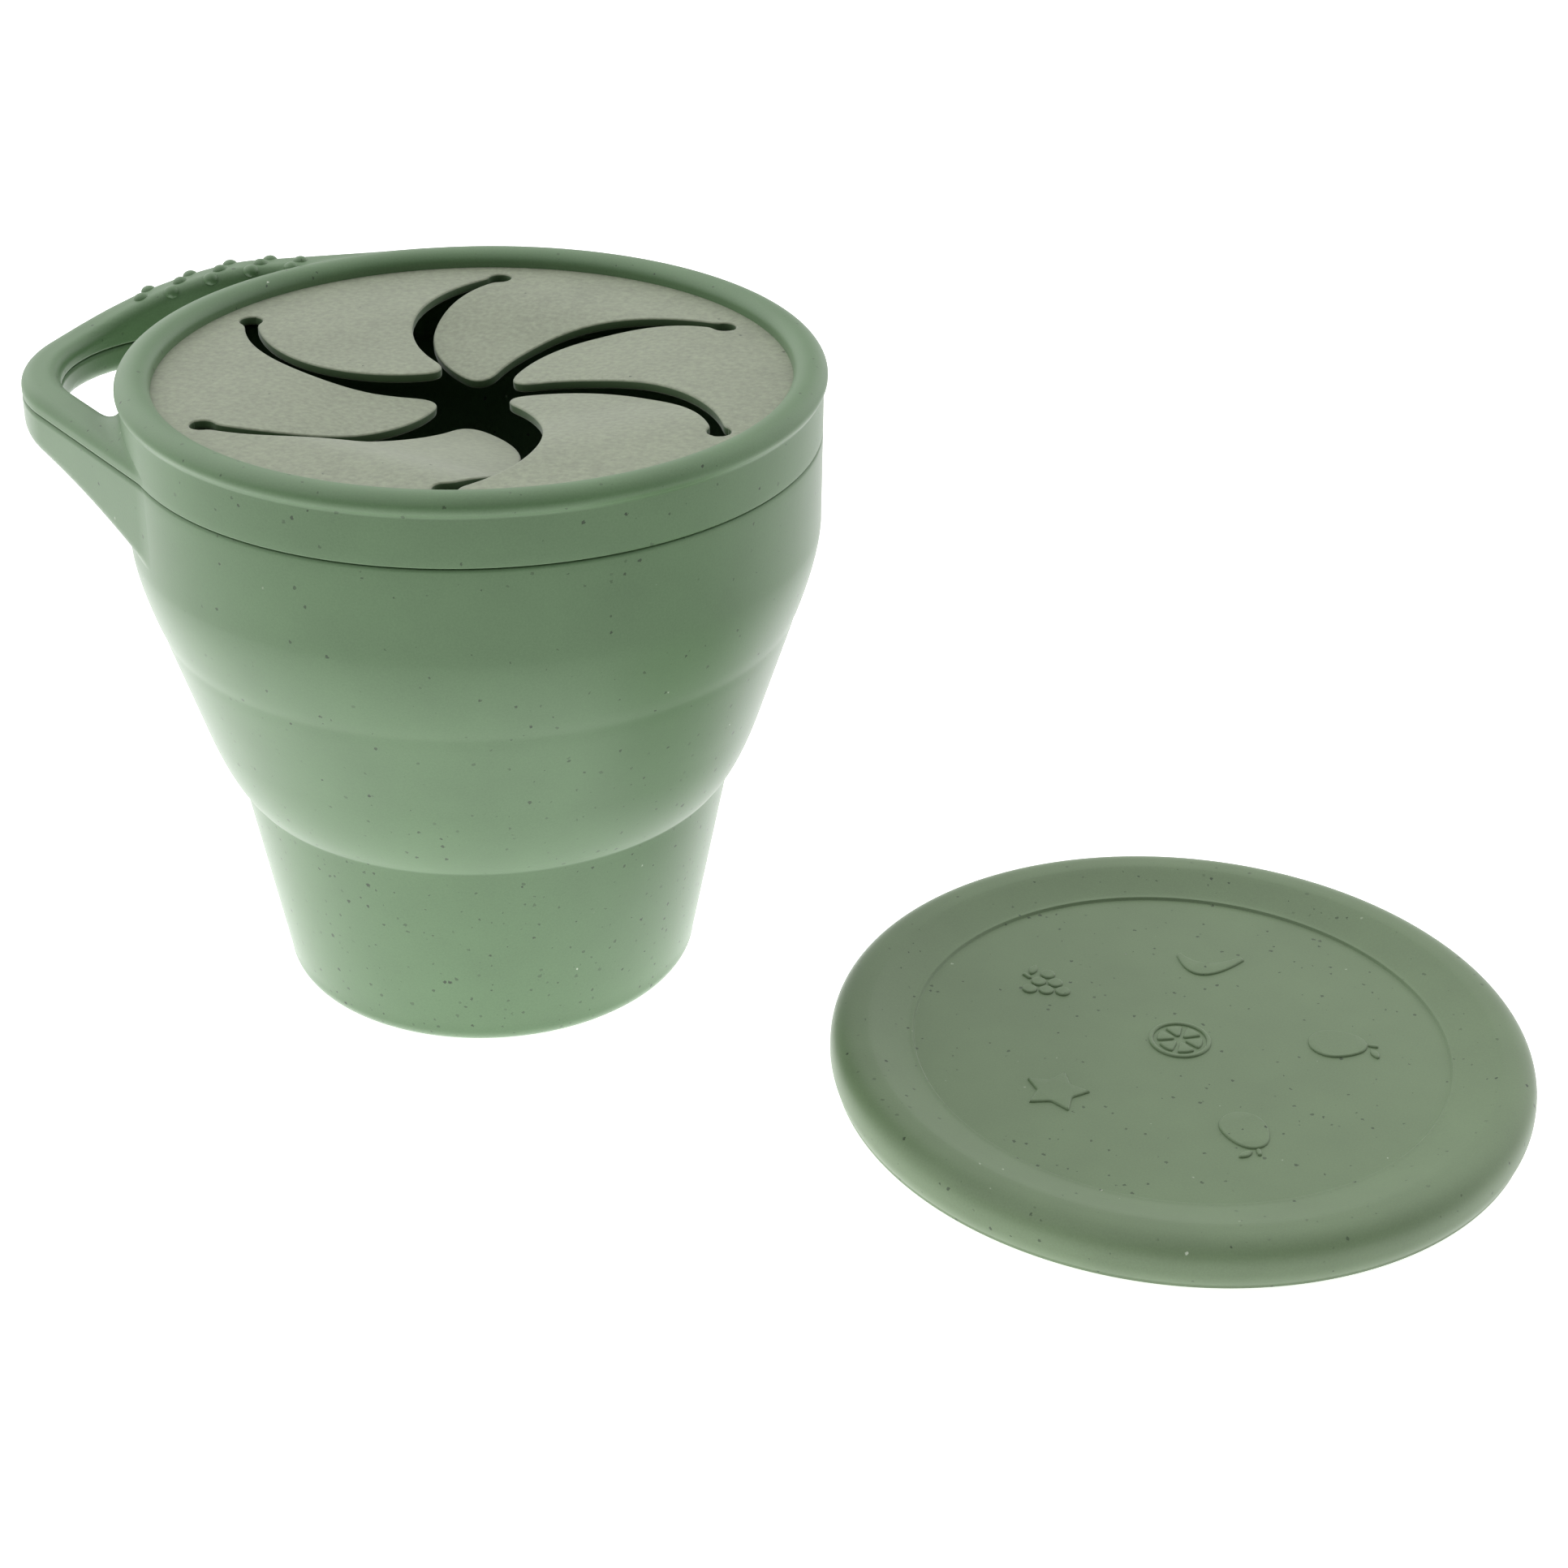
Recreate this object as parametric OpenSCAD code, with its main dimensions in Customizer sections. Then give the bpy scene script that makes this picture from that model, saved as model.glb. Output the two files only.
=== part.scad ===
// Collapsible snack cup with a slit lid, a loop handle and a loose dust cover.
// Millimetres, +Z up. The origin is on the cup's axis at the underside of its foot.
// The handle points along -X, and the cover lies beside the cup along +X.

/* [Cup] */
// Outer radius of the cup just above its rounded foot
foot_r = 28.45; // [26:0.05:30]
// Rounding of the foot's lower edge
foot_round = 2.6; // [1:0.1:4]
// Height of the base tier, from the floor to the fold
base_h = 29.7; // [27:0.1:33]
// Outer radius at the top of the base tier
base_top_r = 33.5; // [32:0.1:35]
// Height of the fold wall, which turns inside out when the cup collapses
fold_h = 24.3; // [22:0.1:27]
// Outer radius of the fold wall where its lower shoulder ends
fold_shoulder_r = 38.6; // [37.5:0.1:39.6]
// Height of the fold wall's lower shoulder
fold_shoulder_h = 11.6; // [9:0.1:14]
// Outer radius at the top of the fold wall
fold_top_r = 42.6; // [41.5:0.1:43.8]
// Height of the upper tier, from the fold to the shoulder under the lid
upper_h = 24.4; // [22:0.1:28]
// Outer radius of the upper tier at the shoulder
shoulder_r = 45.5; // [45:0.1:47]
// Wall thickness of the cup
wall = 2; // [1.6:0.1:2.4]
// Thickness of the cup's floor
floor_t = 2.4; // [1.6:0.1:4]

/* [Neck] */
// Height of the neck above the shoulder
neck_h = 4.2; // [3:0.1:5]
// Wall thickness of the neck
neck_wall = 1.8; // [1.2:0.1:2.4]
// Thickness of the shoulder that the lid rests on
shoulder_t = 2; // [1.5:0.1:3]
// Clearance between the neck and the lid's skirt
neck_gap = 0.25; // [0.15:0.05:0.5]

/* [Lid] */
// Height of the lid's top edge above the shoulder
lid_h = 9.3; // [8.6:0.1:10.5]
// Wall thickness of the lid's skirt
skirt_wall = 2.6; // [2.2:0.05:3]
// Radius of the bead round the lid's top edge
bead_r = 2.25; // [2:0.05:2.5]
// How far the bead stands out past the skirt
bead_out = 0.5; // [0.2:0.05:0.9]
// Thickness of the slit membrane
membrane_t = 1.3; // [1:0.05:1.8]
// How far the membrane lies below the lid's top edge
membrane_drop = 2.3; // [1.9:0.1:3]

/* [Petals] */
// Direction of the first petal's middle
petal_a = 19.6; // [0:0.1:60]
// How far the slits' outer ends lie inside the membrane's edge
slit_rim = 4.4; // [3.7:0.1:6]
// Radius of the round hole that ends each slit
slit_hole_r = 1.6; // [1.3:0.1:2]
// Distance from the lid's axis to the slits' inner ends
slit_inner_r = 7.6; // [7:0.1:9]
// Angle about the lid's axis between a slit's two ends
slit_swirl = 32.8; // [30:0.1:36]
// Width of a slit at its outer end
slit_w = 1.6; // [1.2:0.1:2]
// Width of a slit at its inner end
slit_inner_w = 3.2; // [2.6:0.1:3.6]
// Angle that each slit's arc turns through
slit_turn = 94; // [88:1:97]
// Angle that each petal hangs below level
petal_droop = 6; // [0:0.5:12]
// Clearance behind each petal's knuckle
knuckle_gap = 0.2; // [0.1:0.05:0.4]

/* [Handle] */
// Distance from the cup's axis to the far end of the handle
handle_reach = 64.8; // [62:0.1:68]
// Outer radius of the handle's round end
handle_end_r = 22.4; // [20:0.1:26]
// Width of the handle's band
handle_w = 5.2; // [4.8:0.1:6]
// Height of the handle's top above the shoulder, along the low arm and the far end
handle_end_h = 3; // [2.6:0.1:4.2]
// Height of the dotted arm's top above the shoulder beside the bead
handle_root_h = 9.1; // [8:0.1:9.2]
// Length along the band, from the far end, over which the dotted arm's top rises
handle_rise = 38; // [32:1:44]
// Depth of the handle below the shoulder at its far end
handle_end_depth = 3.9; // [3.4:0.1:6]
// Depth of the handle below the shoulder where it meets the cup
handle_root_depth = 12; // [10:0.1:15]
// Squareness of the handle's top, where 2 is an ellipse
handle_crown = 3; // [2:0.1:4]
// Rounding of the handle's lower edges
handle_round = 1.6; // [1:0.1:2.2]

/* [Grip dots] */
// Radius of each grip dot
dot_r = 1.05; // [0.8:0.05:1.2]
// Spacing of the grip dots along the handle
dot_pitch = 5.6; // [5:0.1:6.5]
// Spacing between the rows of grip dots
dot_row = 1.65; // [1.3:0.05:1.7]
// How far the outer rows are shifted along the handle
dot_slant = 1.5; // [0:0.1:2.5]
// Number of grip dots in the middle row
dot_count = 5; // [3:1:5]
// Distance along the handle from its root to the nearest dot
dot_root = 18.1; // [16:0.1:22]

/* [Dust cover] */
// Distance from the cup's axis to the cover's centre
cover_x = 99.3; // [95:0.1:130]
// Outer radius of the cover
cover_r = 46.1; // [45:0.05:48]
// Height of the cover's rounded edge
cover_h = 7.5; // [7:0.1:7.9]
// Height of the cover's flat border
cover_flat_h = 5.9; // [5.4:0.1:6.3]
// Radius of the cover's sunk middle
cover_disc_r = 35; // [33:0.1:37]
// Depth of the cover's sunk middle
cover_disc_drop = 0.3; // [0.2:0.05:0.4]
// Thickness of the cover's plate
cover_t = 1.4; // [1.2:0.05:1.5]
// Thickness of the cover's hanging lip
cover_lip_t = 2.4; // [2:0.1:2.8]
// How far the lip's foot turns inward
cover_catch = 2.2; // [1.6:0.1:2.6]

/* [Cover motifs] */
// Height of the raised fruit shapes
motif_h = 0.35; // [0.2:0.05:0.5]
// Radius of the ring of fruit shapes
motif_ring_r = 21; // [18:0.5:24]
// Number of fruit shapes in the ring
motif_count = 5; // [3:1:5]
// Width of one fruit shape
motif_size = 9; // [6:0.5:10]

/* [Hidden] */
$fn = 96;

fold_z = base_h;                       // where the fold wall starts
upper_z = base_h + fold_h;             // where the upper tier starts
seam_z = upper_z + upper_h;            // where the lid rests on the cup
petal_count = 6;
petal_step = 360 / petal_count;
arc_steps = 14;
trim_over = 2;                         // how far a trimming solid runs past the seam

// The lid fits over the neck.
skirt_in_r = shoulder_r - skirt_wall;
neck_r = skirt_in_r - neck_gap;
neck_in_r = neck_r - neck_wall;
lid_top_z = seam_z + lid_h;
bead_c_r = shoulder_r + bead_out - bead_r;
bead_c_z = lid_top_z - bead_r;
membrane_z1 = lid_top_z - membrane_drop;
membrane_z0 = membrane_z1 - membrane_t;
membrane_mid_z = (membrane_z0 + membrane_z1) / 2;
membrane_r = bead_c_r - sqrt(bead_r * bead_r - pow(bead_c_z - membrane_z1, 2));

// The petals hinge on the chords between the slits' outer ends.
slit_end_r = membrane_r - slit_rim;
hinge_x = slit_end_r * cos(petal_step / 2);
knuckle_r = membrane_t / 2;

// Each slit is an arc between its two ends.
slit_outer = [slit_end_r, 0];
slit_inner = slit_inner_r * [cos(slit_swirl), sin(slit_swirl)];
slit_chord = norm(slit_inner - slit_outer);
slit_run = (slit_inner - slit_outer) / slit_chord;
slit_arc_r = slit_chord / 2 / sin(slit_turn / 2);
slit_c = (slit_outer + slit_inner) / 2
    + slit_arc_r * cos(slit_turn / 2) * [-slit_run[1], slit_run[0]];
slit_a0 = atan2(-slit_c[1], slit_end_r - slit_c[0]);

// The handle's arms run to the cup's side, and end just inside it.
arm_tangent_r = shoulder_r - 0.3;
end_c_x = handle_end_r - handle_reach;
arm_a = acos((arm_tangent_r - handle_end_r) / -end_c_x);
arm_len = sqrt(end_c_x * end_c_x - pow(arm_tangent_r - handle_end_r, 2));
band_r = handle_end_r - handle_w / 2;
arc_len = band_r * arm_a * PI / 180;
root_x = -arm_tangent_r * cos(arm_a);

// ---- Helpers ----

// Points on a curve from a to c that is pulled towards b, without its last point.
function curve(a, b, c, steps = arc_steps) =
    [for (i = [0 : steps - 1]) let (t = i / steps)
        a * (1 - t) * (1 - t) + b * 2 * t * (1 - t) + c * t * t];

// Points on an arc about c from angle a0 to a1.
function arc(c, r, a0, a1, steps = arc_steps) =
    [for (i = [0 : steps]) let (a = a0 + (a1 - a0) * i / steps) c + r * [cos(a), sin(a)]];

// A wall that lies inside an outer profile of [radius, height] points.
function walled(outer, t) =
    concat(outer, [for (i = [len(outer) - 1 : -1 : 0]) outer[i] - [t, 0]]);

function turned(p, a) = [p[0] * cos(a) - p[1] * sin(a), p[0] * sin(a) + p[1] * cos(a)];

function eased(t) = let (u = min(1, max(0, t))) u * u * (3 - 2 * u);

// ---- Cup ----

fold_profile = concat(
    curve([base_top_r, fold_z],
          [fold_shoulder_r - 2.65, fold_z + 2.65],
          [fold_shoulder_r, fold_z + fold_shoulder_h]),
    [[fold_shoulder_r, fold_z + fold_shoulder_h], [fold_top_r, upper_z]]);

upper_straight_z = seam_z - handle_root_depth - 0.4;   // the wall is straight behind the handle
upper_pull_z = upper_z + (upper_straight_z - upper_z) * 0.65;
upper_profile = concat(
    curve([fold_top_r, upper_z], [shoulder_r - 0.1, upper_pull_z], [shoulder_r, upper_straight_z]),
    [[shoulder_r, upper_straight_z], [shoulder_r, seam_z]]);

module cup_base() color("#6d8d69")
    rotate_extrude() polygon(concat(
        [[0, 0]],
        arc([foot_r - foot_round, foot_round], foot_round, -90, 0, 8),
        [[base_top_r, base_h], [base_top_r - wall, base_h]],
        arc([foot_r - wall - foot_round, floor_t + foot_round], foot_round, 0, -90, 8),
        [[0, floor_t]]));

module fold_wall() color("#759571")
    rotate_extrude() polygon(walled(fold_profile, wall));

module cup_upper() color("#6d8d69")
    rotate_extrude() polygon(concat(
        upper_profile,
        [[neck_r, seam_z], [neck_r, seam_z + neck_h], [neck_in_r, seam_z + neck_h],
         [neck_in_r, seam_z - shoulder_t],
         [shoulder_r - wall, seam_z - shoulder_t - wall]],
        [for (i = [len(upper_profile) - 2 : -1 : 0]) upper_profile[i] - [wall, 0]]));

// The cup's outside as one solid, to trim what is moulded onto it.
module cup_filled() rotate_extrude() polygon(concat(
    [[0, upper_z]], upper_profile, [[shoulder_r, seam_z + trim_over], [0, seam_z + trim_over]]));

// ---- Lid ----

bead_low_a = -asin(min(1, 1 - bead_out / bead_r) * 0.72);

module lid_ring() color("#6d8d69")
    rotate_extrude() polygon(concat(
        [[skirt_in_r, membrane_z0], [skirt_in_r, seam_z], [shoulder_r, seam_z],
         [shoulder_r, bead_c_z - bead_r]],
        arc([bead_c_r, bead_c_z], bead_r, bead_low_a,
            180 + asin((bead_c_z - membrane_z1) / bead_r), 24),
        [[membrane_r, membrane_z0]]));

// The lid's outside as one solid, to trim what is moulded onto it.
module lid_filled() rotate_extrude() polygon(concat(
    [[0, seam_z - trim_over], [shoulder_r, seam_z - trim_over], [shoulder_r, bead_c_z - bead_r]],
    arc([bead_c_r, bead_c_z], bead_r, bead_low_a, 90, 24),
    [[0, lid_top_z]]));

module slit_holes() for (i = [0 : petal_count - 1])
    rotate((i + 0.5) * petal_step) translate([slit_end_r, 0]) circle(slit_hole_r);

module lid_membrane() color("#8c9c85")
    translate([0, 0, membrane_z0]) rotate(petal_a) linear_extrude(membrane_t) difference() {
        circle(membrane_r);
        rotate(petal_step / 2)
            circle((hinge_x + knuckle_r + knuckle_gap) / cos(petal_step / 2), $fn = petal_count);
        slit_holes();
    }

// One side of a slit, from its outer end (t = 0) to its inner end (t = 1).
function slit_side(t, side) =
    slit_c + (slit_arc_r + side * (slit_w + (slit_inner_w - slit_w) * t) / 2)
    * [cos(slit_a0 + slit_turn * t), sin(slit_a0 + slit_turn * t)];

// A petal lies between one slit's outside and the next slit's inside.
module petal_outline() {
    half = petal_step / 2;
    near = [for (i = [0 : arc_steps]) turned(slit_side(i / arc_steps, 1), -half)];
    far = [for (i = [arc_steps : -1 : 0]) turned(slit_side(i / arc_steps, -1), half)];
    near_end = near[len(near) - 1];
    tip_pull = (near_end - near[len(near) - 2]) + (far[0] - far[1]);
    tip_c = (near_end + far[0]) / 2 + tip_pull * 0.9;
    difference() {
        intersection() {
            polygon(concat(near, curve(near_end, tip_c, far[0], 8), far));
            translate([0, -slit_end_r]) square([hinge_x, 2 * slit_end_r]);
        }
        slit_holes();
    }
}

module petal(index) color("#8c9c85") rotate(petal_a + index * petal_step)
    translate([hinge_x, 0, membrane_mid_z]) rotate([0, -petal_droop, 0]) {
        root_half = hinge_x * tan(petal_step / 2) - slit_hole_r - 0.3;
        translate([-hinge_x, 0, -membrane_t / 2]) linear_extrude(membrane_t) petal_outline();
        translate([0, -root_half, 0]) rotate([-90, 0, 0]) cylinder(r = knuckle_r, h = 2 * root_half);
    }

module petal_1() petal(0);
module petal_2() petal(1);
module petal_3() petal(2);
module petal_4() petal(3);
module petal_5() petal(4);
module petal_6() petal(5);

// ---- Handle ----

// The middle of the band at a distance along it from the far end, as [x, y, outward x, outward y].
function band(s) =
    let (side = sign(s), a = min(abs(s), arc_len) / arc_len * arm_a,
         run = max(0, abs(s) - arc_len), n = [-cos(a), sin(a)])
    [end_c_x + band_r * n[0] + run * sin(a), side * (band_r * n[1] + run * cos(a)), n[0], side * n[1]];

// Height of the band's top above the seam, and its depth below. Only the arm on +Y rises.
function top_h(s) = handle_end_h + (handle_root_h - handle_end_h) * eased(s / handle_rise);
function depth(x) = handle_end_depth + (handle_root_depth - handle_end_depth)
    * pow(max(0, (x + handle_reach) / (root_x + handle_reach)), 1.9);

// Cross-sections of the band's halves, as [distance outward, height] points.
function crown(x) = pow(1 - pow(min(1, abs(x) / (handle_w / 2)), handle_crown), 1 / handle_crown);
function top_section(h) = let (p = 2 / handle_crown) [for (a = [180 : -12 : 0])
    [handle_w / 2 * sign(cos(a)) * pow(abs(cos(a)), p), h * pow(abs(sin(a)), p)]];
function low_section(d) = let (r = handle_round, w = handle_w / 2) concat(
    [[w, 0]], arc([w - r, r - d], r, 0, -90, 4), arc([r - w, r - d], r, -90, -180, 4), [[-w, 0]]);

band_end = arc_len + arm_len;
band_stops = concat(
    [for (i = [0 : 5]) -band_end + arm_len * i / 6],
    [for (i = [0 : 20]) arc_len * (i / 10 - 1)],
    [for (i = [1 : 6]) arc_len + arm_len * i / 6]);

// Joins cross-sections into one closed solid.
module swept(rings) {
    n = len(rings[0]);
    m = len(rings);
    sides = [for (i = [0 : m - 2], j = [0 : n - 1])
        let (a = i * n + j, b = i * n + (j + 1) % n)
        each [[a, b, a + n], [b, b + n, a + n]]];
    polyhedron([for (ring = rings) each ring],
               concat(sides, [[for (j = [n - 1 : -1 : 0]) j]], [[for (j = [0 : n - 1]) (m - 1) * n + j]]));
}

module handle_upper() color("#6d8d69") difference() {
    union() {
        swept([for (s = band_stops) let (b = band(s))
            [for (p = top_section(top_h(s)))
                [b[0] + p[0] * b[2], b[1] + p[0] * b[3], seam_z + p[1]]]]);
        grip_dots();
    }
    lid_filled();
}

module handle_lower() color("#6d8d69") difference() {
    swept([for (s = band_stops) let (b = band(s))
        [for (p = low_section(depth(b[0])))
            [b[0] + p[0] * b[2], b[1] + p[0] * b[3], seam_z + p[1]]]]);
    cup_filled();
}

// Three staggered rows of small domes on the top of one arm.
module grip_dots() for (row = [-1 : 1], i = [max(row, 0) : dot_count - 1 + min(row, 0)]) {
    s = band_end - dot_root - i * dot_pitch + row * dot_slant;
    b = band(s);
    across = row * dot_row;
    translate([b[0] + across * b[2], b[1] + across * b[3],
               seam_z + top_h(s) * crown(across) - dot_r * 0.45])
        sphere(dot_r, $fn = 24);
}

// ---- Dust cover ----

cover_round = cover_h / 2;             // the cover's edge is a full round
cover_edge_r = cover_r - cover_round;
cover_in_r = cover_r - cover_lip_t;
disc_z = cover_flat_h - cover_disc_drop;
plate_z0 = disc_z - cover_t;
lip_round = 1.2;                       // rounding inside the lip's root
valley_r = cover_edge_r - 2.6;

module dust_cover() color("#77906f") translate([cover_x, 0, 0]) rotate_extrude() polygon(concat(
    [[0, plate_z0]],
    arc([cover_in_r - lip_round, plate_z0 - lip_round], lip_round, 90, 0, 6),
    [[cover_in_r, cover_catch], [cover_in_r - cover_catch, 1.1], [cover_in_r - cover_catch, 0.4],
     [cover_in_r - cover_catch + 0.4, 0]],
    arc([cover_edge_r, cover_round], cover_round, -90, 90, 24),
    curve([cover_edge_r - 0.6, cover_h - 0.1], [cover_edge_r - 1.4, cover_flat_h],
          [valley_r, cover_flat_h], 8),
    [[valley_r, cover_flat_h], [cover_disc_r + cover_disc_drop, cover_flat_h],
     [cover_disc_r, disc_z], [0, disc_z]]));

// Plain fruit shapes, each drawn one unit wide.
module pear_shape() {
    translate([0, -0.12]) circle(0.34);
    translate([0, 0.2]) circle(0.19);
    polygon([[-0.325, -0.02], [0.325, -0.02], [0.18, 0.26], [-0.18, 0.26]]);
    translate([-0.03, 0.34]) square([0.06, 0.16]);
}
module banana_shape() intersection() {
    difference() {
        circle(0.62);
        translate([0.12, 0.26]) circle(0.58);
    }
    rotate(20) translate([-0.62, -0.7]) square([1.2, 0.82]);
}
module grapes_shape() {
    for (row = [0 : 2], i = [0 : row])
        translate([(i - row / 2) * 0.25, row * 0.21 - 0.26]) circle(0.145);
    translate([-0.03, 0.2]) square([0.06, 0.28]);
}
module orange_shape() difference() {
    circle(0.45);
    for (i = [0 : 5]) rotate(i * 60) translate([0.06, -0.02]) square([0.3, 0.04]);
    difference() {
        circle(0.39);
        circle(0.35);
    }
}
module star_shape() polygon([for (i = [0 : 9]) let (r = i % 2 == 0 ? 0.5 : 0.27)
    r * [sin(i * 36), cos(i * 36)]]);

module motif(kind) scale(motif_size) {
    if (kind == 0) pear_shape();
    if (kind == 1) banana_shape();
    if (kind == 2) grapes_shape();
    if (kind == 3) star_shape();
    if (kind == 4) orange_shape();
}

module cover_motifs() color("#829b79") translate([cover_x, 0, disc_z]) linear_extrude(motif_h) {
    rotate(-60) motif(4);
    for (i = [0 : motif_count - 1]) rotate(i * 360 / motif_count + 18)
        translate([motif_ring_r, 0]) rotate(-90) motif(i % 4);
}

// ---- Nodes ----

cup_base();
fold_wall();
cup_upper();
handle_lower();
lid_ring();
handle_upper();
lid_membrane();
petal_1();
petal_2();
petal_3();
petal_4();
petal_5();
petal_6();
dust_cover();
cover_motifs();
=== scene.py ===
# %% [markdown]
# This is a snack cup for small children, moulded in soft sage-green silicone.
# Its wall folds down on itself, its lid has six petals that a hand can push through,
# and a loose dust cover lies beside it. Blender dresses the frame that the part was
# packed in, so the first step is to load that frame and to note how big it is.

import math
from itertools import product

import bmesh
import bpy
import numpy as np
from mathutils import Matrix, Vector


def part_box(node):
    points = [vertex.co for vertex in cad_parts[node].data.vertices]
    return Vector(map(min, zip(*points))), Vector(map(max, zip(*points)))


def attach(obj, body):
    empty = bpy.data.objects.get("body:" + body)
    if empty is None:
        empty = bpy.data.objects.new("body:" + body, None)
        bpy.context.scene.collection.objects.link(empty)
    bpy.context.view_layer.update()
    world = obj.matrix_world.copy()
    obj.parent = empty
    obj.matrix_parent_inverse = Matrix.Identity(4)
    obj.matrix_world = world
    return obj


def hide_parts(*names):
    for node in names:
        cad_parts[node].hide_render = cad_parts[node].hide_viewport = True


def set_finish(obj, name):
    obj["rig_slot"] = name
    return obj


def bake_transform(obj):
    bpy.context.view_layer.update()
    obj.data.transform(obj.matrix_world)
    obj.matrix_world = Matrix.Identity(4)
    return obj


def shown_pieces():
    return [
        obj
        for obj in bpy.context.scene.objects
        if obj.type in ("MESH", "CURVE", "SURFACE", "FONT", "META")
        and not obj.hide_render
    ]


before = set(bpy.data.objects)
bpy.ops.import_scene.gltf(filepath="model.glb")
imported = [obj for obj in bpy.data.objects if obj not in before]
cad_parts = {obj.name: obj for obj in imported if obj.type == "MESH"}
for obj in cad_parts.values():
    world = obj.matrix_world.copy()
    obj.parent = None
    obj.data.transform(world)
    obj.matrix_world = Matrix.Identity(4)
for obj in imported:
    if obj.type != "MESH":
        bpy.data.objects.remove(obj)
bpy.context.view_layer.update()
MM = 0.001


# %% [markdown]
# The cup's main sizes are read from the frame, in millimetres, so that the soft skin
# built here always fits the solids. Only the sizes that a box can't tell, such as a
# rounding or a wall's thickness, are written down.

# %% Sizes from the frame
def node_box(node):
    low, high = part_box(node)
    return np.array(low) / MM, np.array(high) / MM


BASE_TOP_R, _, FOLD_Z = node_box("cup_base")[1]
FOLD_TOP_R, _, UPPER_Z = node_box("fold_wall")[1]
SHOULDER_R, _, NECK_TOP_Z = node_box("cup_upper")[1]
(_, _, SEAM_Z), (LID_EDGE_R, _, LID_TOP_Z) = node_box("lid_ring")
HANDLE_REACH = -node_box("handle_upper")[0][0]
MEMBRANE_LOW, MEMBRANE_HIGH = (corner[2] for corner in node_box("lid_membrane"))
COVER_LOW, COVER_HIGH = node_box("dust_cover")

FOOT_R = 28.45
FOOT_ROUND = 2.6
FLOOR_T = 2.4
WALL = 2.0
print("fold, upper tier and seam at", FOLD_Z, UPPER_Z, SEAM_Z)


# %% [markdown]
# Every piece is a mesh with no gaps. A silicone moulding has no knife edges, so each
# profile starts as a few corners and every corner gets an arc. Long straight runs are
# cut into short steps, because smooth shading spreads an arc's tilt over the next
# face, and a short face hides that.

# %% Profile helpers
def bent(start, pull, end, steps=12):
    """Points on a curve from start to end that leans towards pull."""
    share = np.linspace(0, 1, steps + 1)[:, None]
    start, pull, end = (np.array(p, float) for p in (start, pull, end))
    return start * (1 - share) ** 2 + pull * 2 * share * (1 - share) + end * share**2


def arc_points(centre, radius, first, last, steps=10):
    """Points on an arc between two angles in degrees."""
    angle = np.radians(np.linspace(first, last, steps + 1))
    return np.array(centre) + radius * np.column_stack([np.cos(angle), np.sin(angle)])


def eased_corners(corners, steps=5):
    """Rounds the inner corners of an open profile of (radius, height, rounding)."""
    places = np.array([corner[:2] for corner in corners], float)
    points = [places[0]]
    for back, here, ahead, (_, _, rounding) in zip(places, places[1:], places[2:], corners[1:]):
        back, ahead = back - here, ahead - here
        back_len, ahead_len = np.linalg.norm(back), np.linalg.norm(ahead)
        half_turn = math.acos(np.clip(back @ ahead / back_len / ahead_len, -1, 1)) / 2
        reach = min(rounding / math.tan(half_turn), 0.49 * back_len, 0.49 * ahead_len)
        if reach < 1e-4:
            points.append(here)
            continue
        start = here + back / back_len * reach
        end = here + ahead / ahead_len * reach
        points.extend(bent(start, here, end, steps))
    return np.array([*points, places[-1]])


def short_steps(points, longest):
    """Cuts the long steps of an open line."""
    out = [points[0]]
    for start, end in zip(points, points[1:]):
        count = max(1, math.ceil(np.linalg.norm(end - start) / longest))
        out.extend(start + (end - start) * np.arange(1, count + 1)[:, None] / count)
    return np.array(out)


def unit(steps):
    return steps / np.linalg.norm(steps, axis=-1, keepdims=True)


def left_of(ahead):
    """Unit steps to the left of a line, from the steps ahead along it."""
    ahead = unit(ahead)
    return np.column_stack([-ahead[:, 1], ahead[:, 0]])


print("an arc has", len(arc_points((0, 0), 1, 0, 90)), "points")


# %% [markdown]
# Blender holds lengths in metres, so one helper takes points in millimetres and makes
# the piece. It counts the edges that don't join exactly two faces, which has to come
# out as 0. Round pieces could be made with the Screw modifier, but rings of points
# set one by one close cleanly on the axis.

# %% Mesh helpers
def placed_object(name, data):
    """An object for a mesh or a camera, put into the scene."""
    made = bpy.data.objects.new(name, data)
    bpy.context.scene.collection.objects.link(made)
    return made


def solid(name, vertices, faces):
    """A closed mesh object from vertices in millimetres, with smooth shading."""
    mesh = bpy.data.meshes.new(name)
    mesh.from_pydata((np.asarray(vertices) * MM).tolist(), [], faces)
    shell = bmesh.new()
    shell.from_mesh(mesh)
    bmesh.ops.remove_doubles(shell, verts=shell.verts, dist=1e-4 * MM)
    bmesh.ops.recalc_face_normals(shell, faces=shell.faces)
    open_edges = sum(not edge.is_manifold for edge in shell.edges)
    shell.to_mesh(mesh)
    shell.free()
    mesh.shade_smooth()
    print(f"{name}: {len(mesh.vertices)} points, {open_edges} open edges")
    return placed_object(name, mesh)


ROUND_STEPS = 240
print("a full turn has", ROUND_STEPS, "steps")


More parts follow.
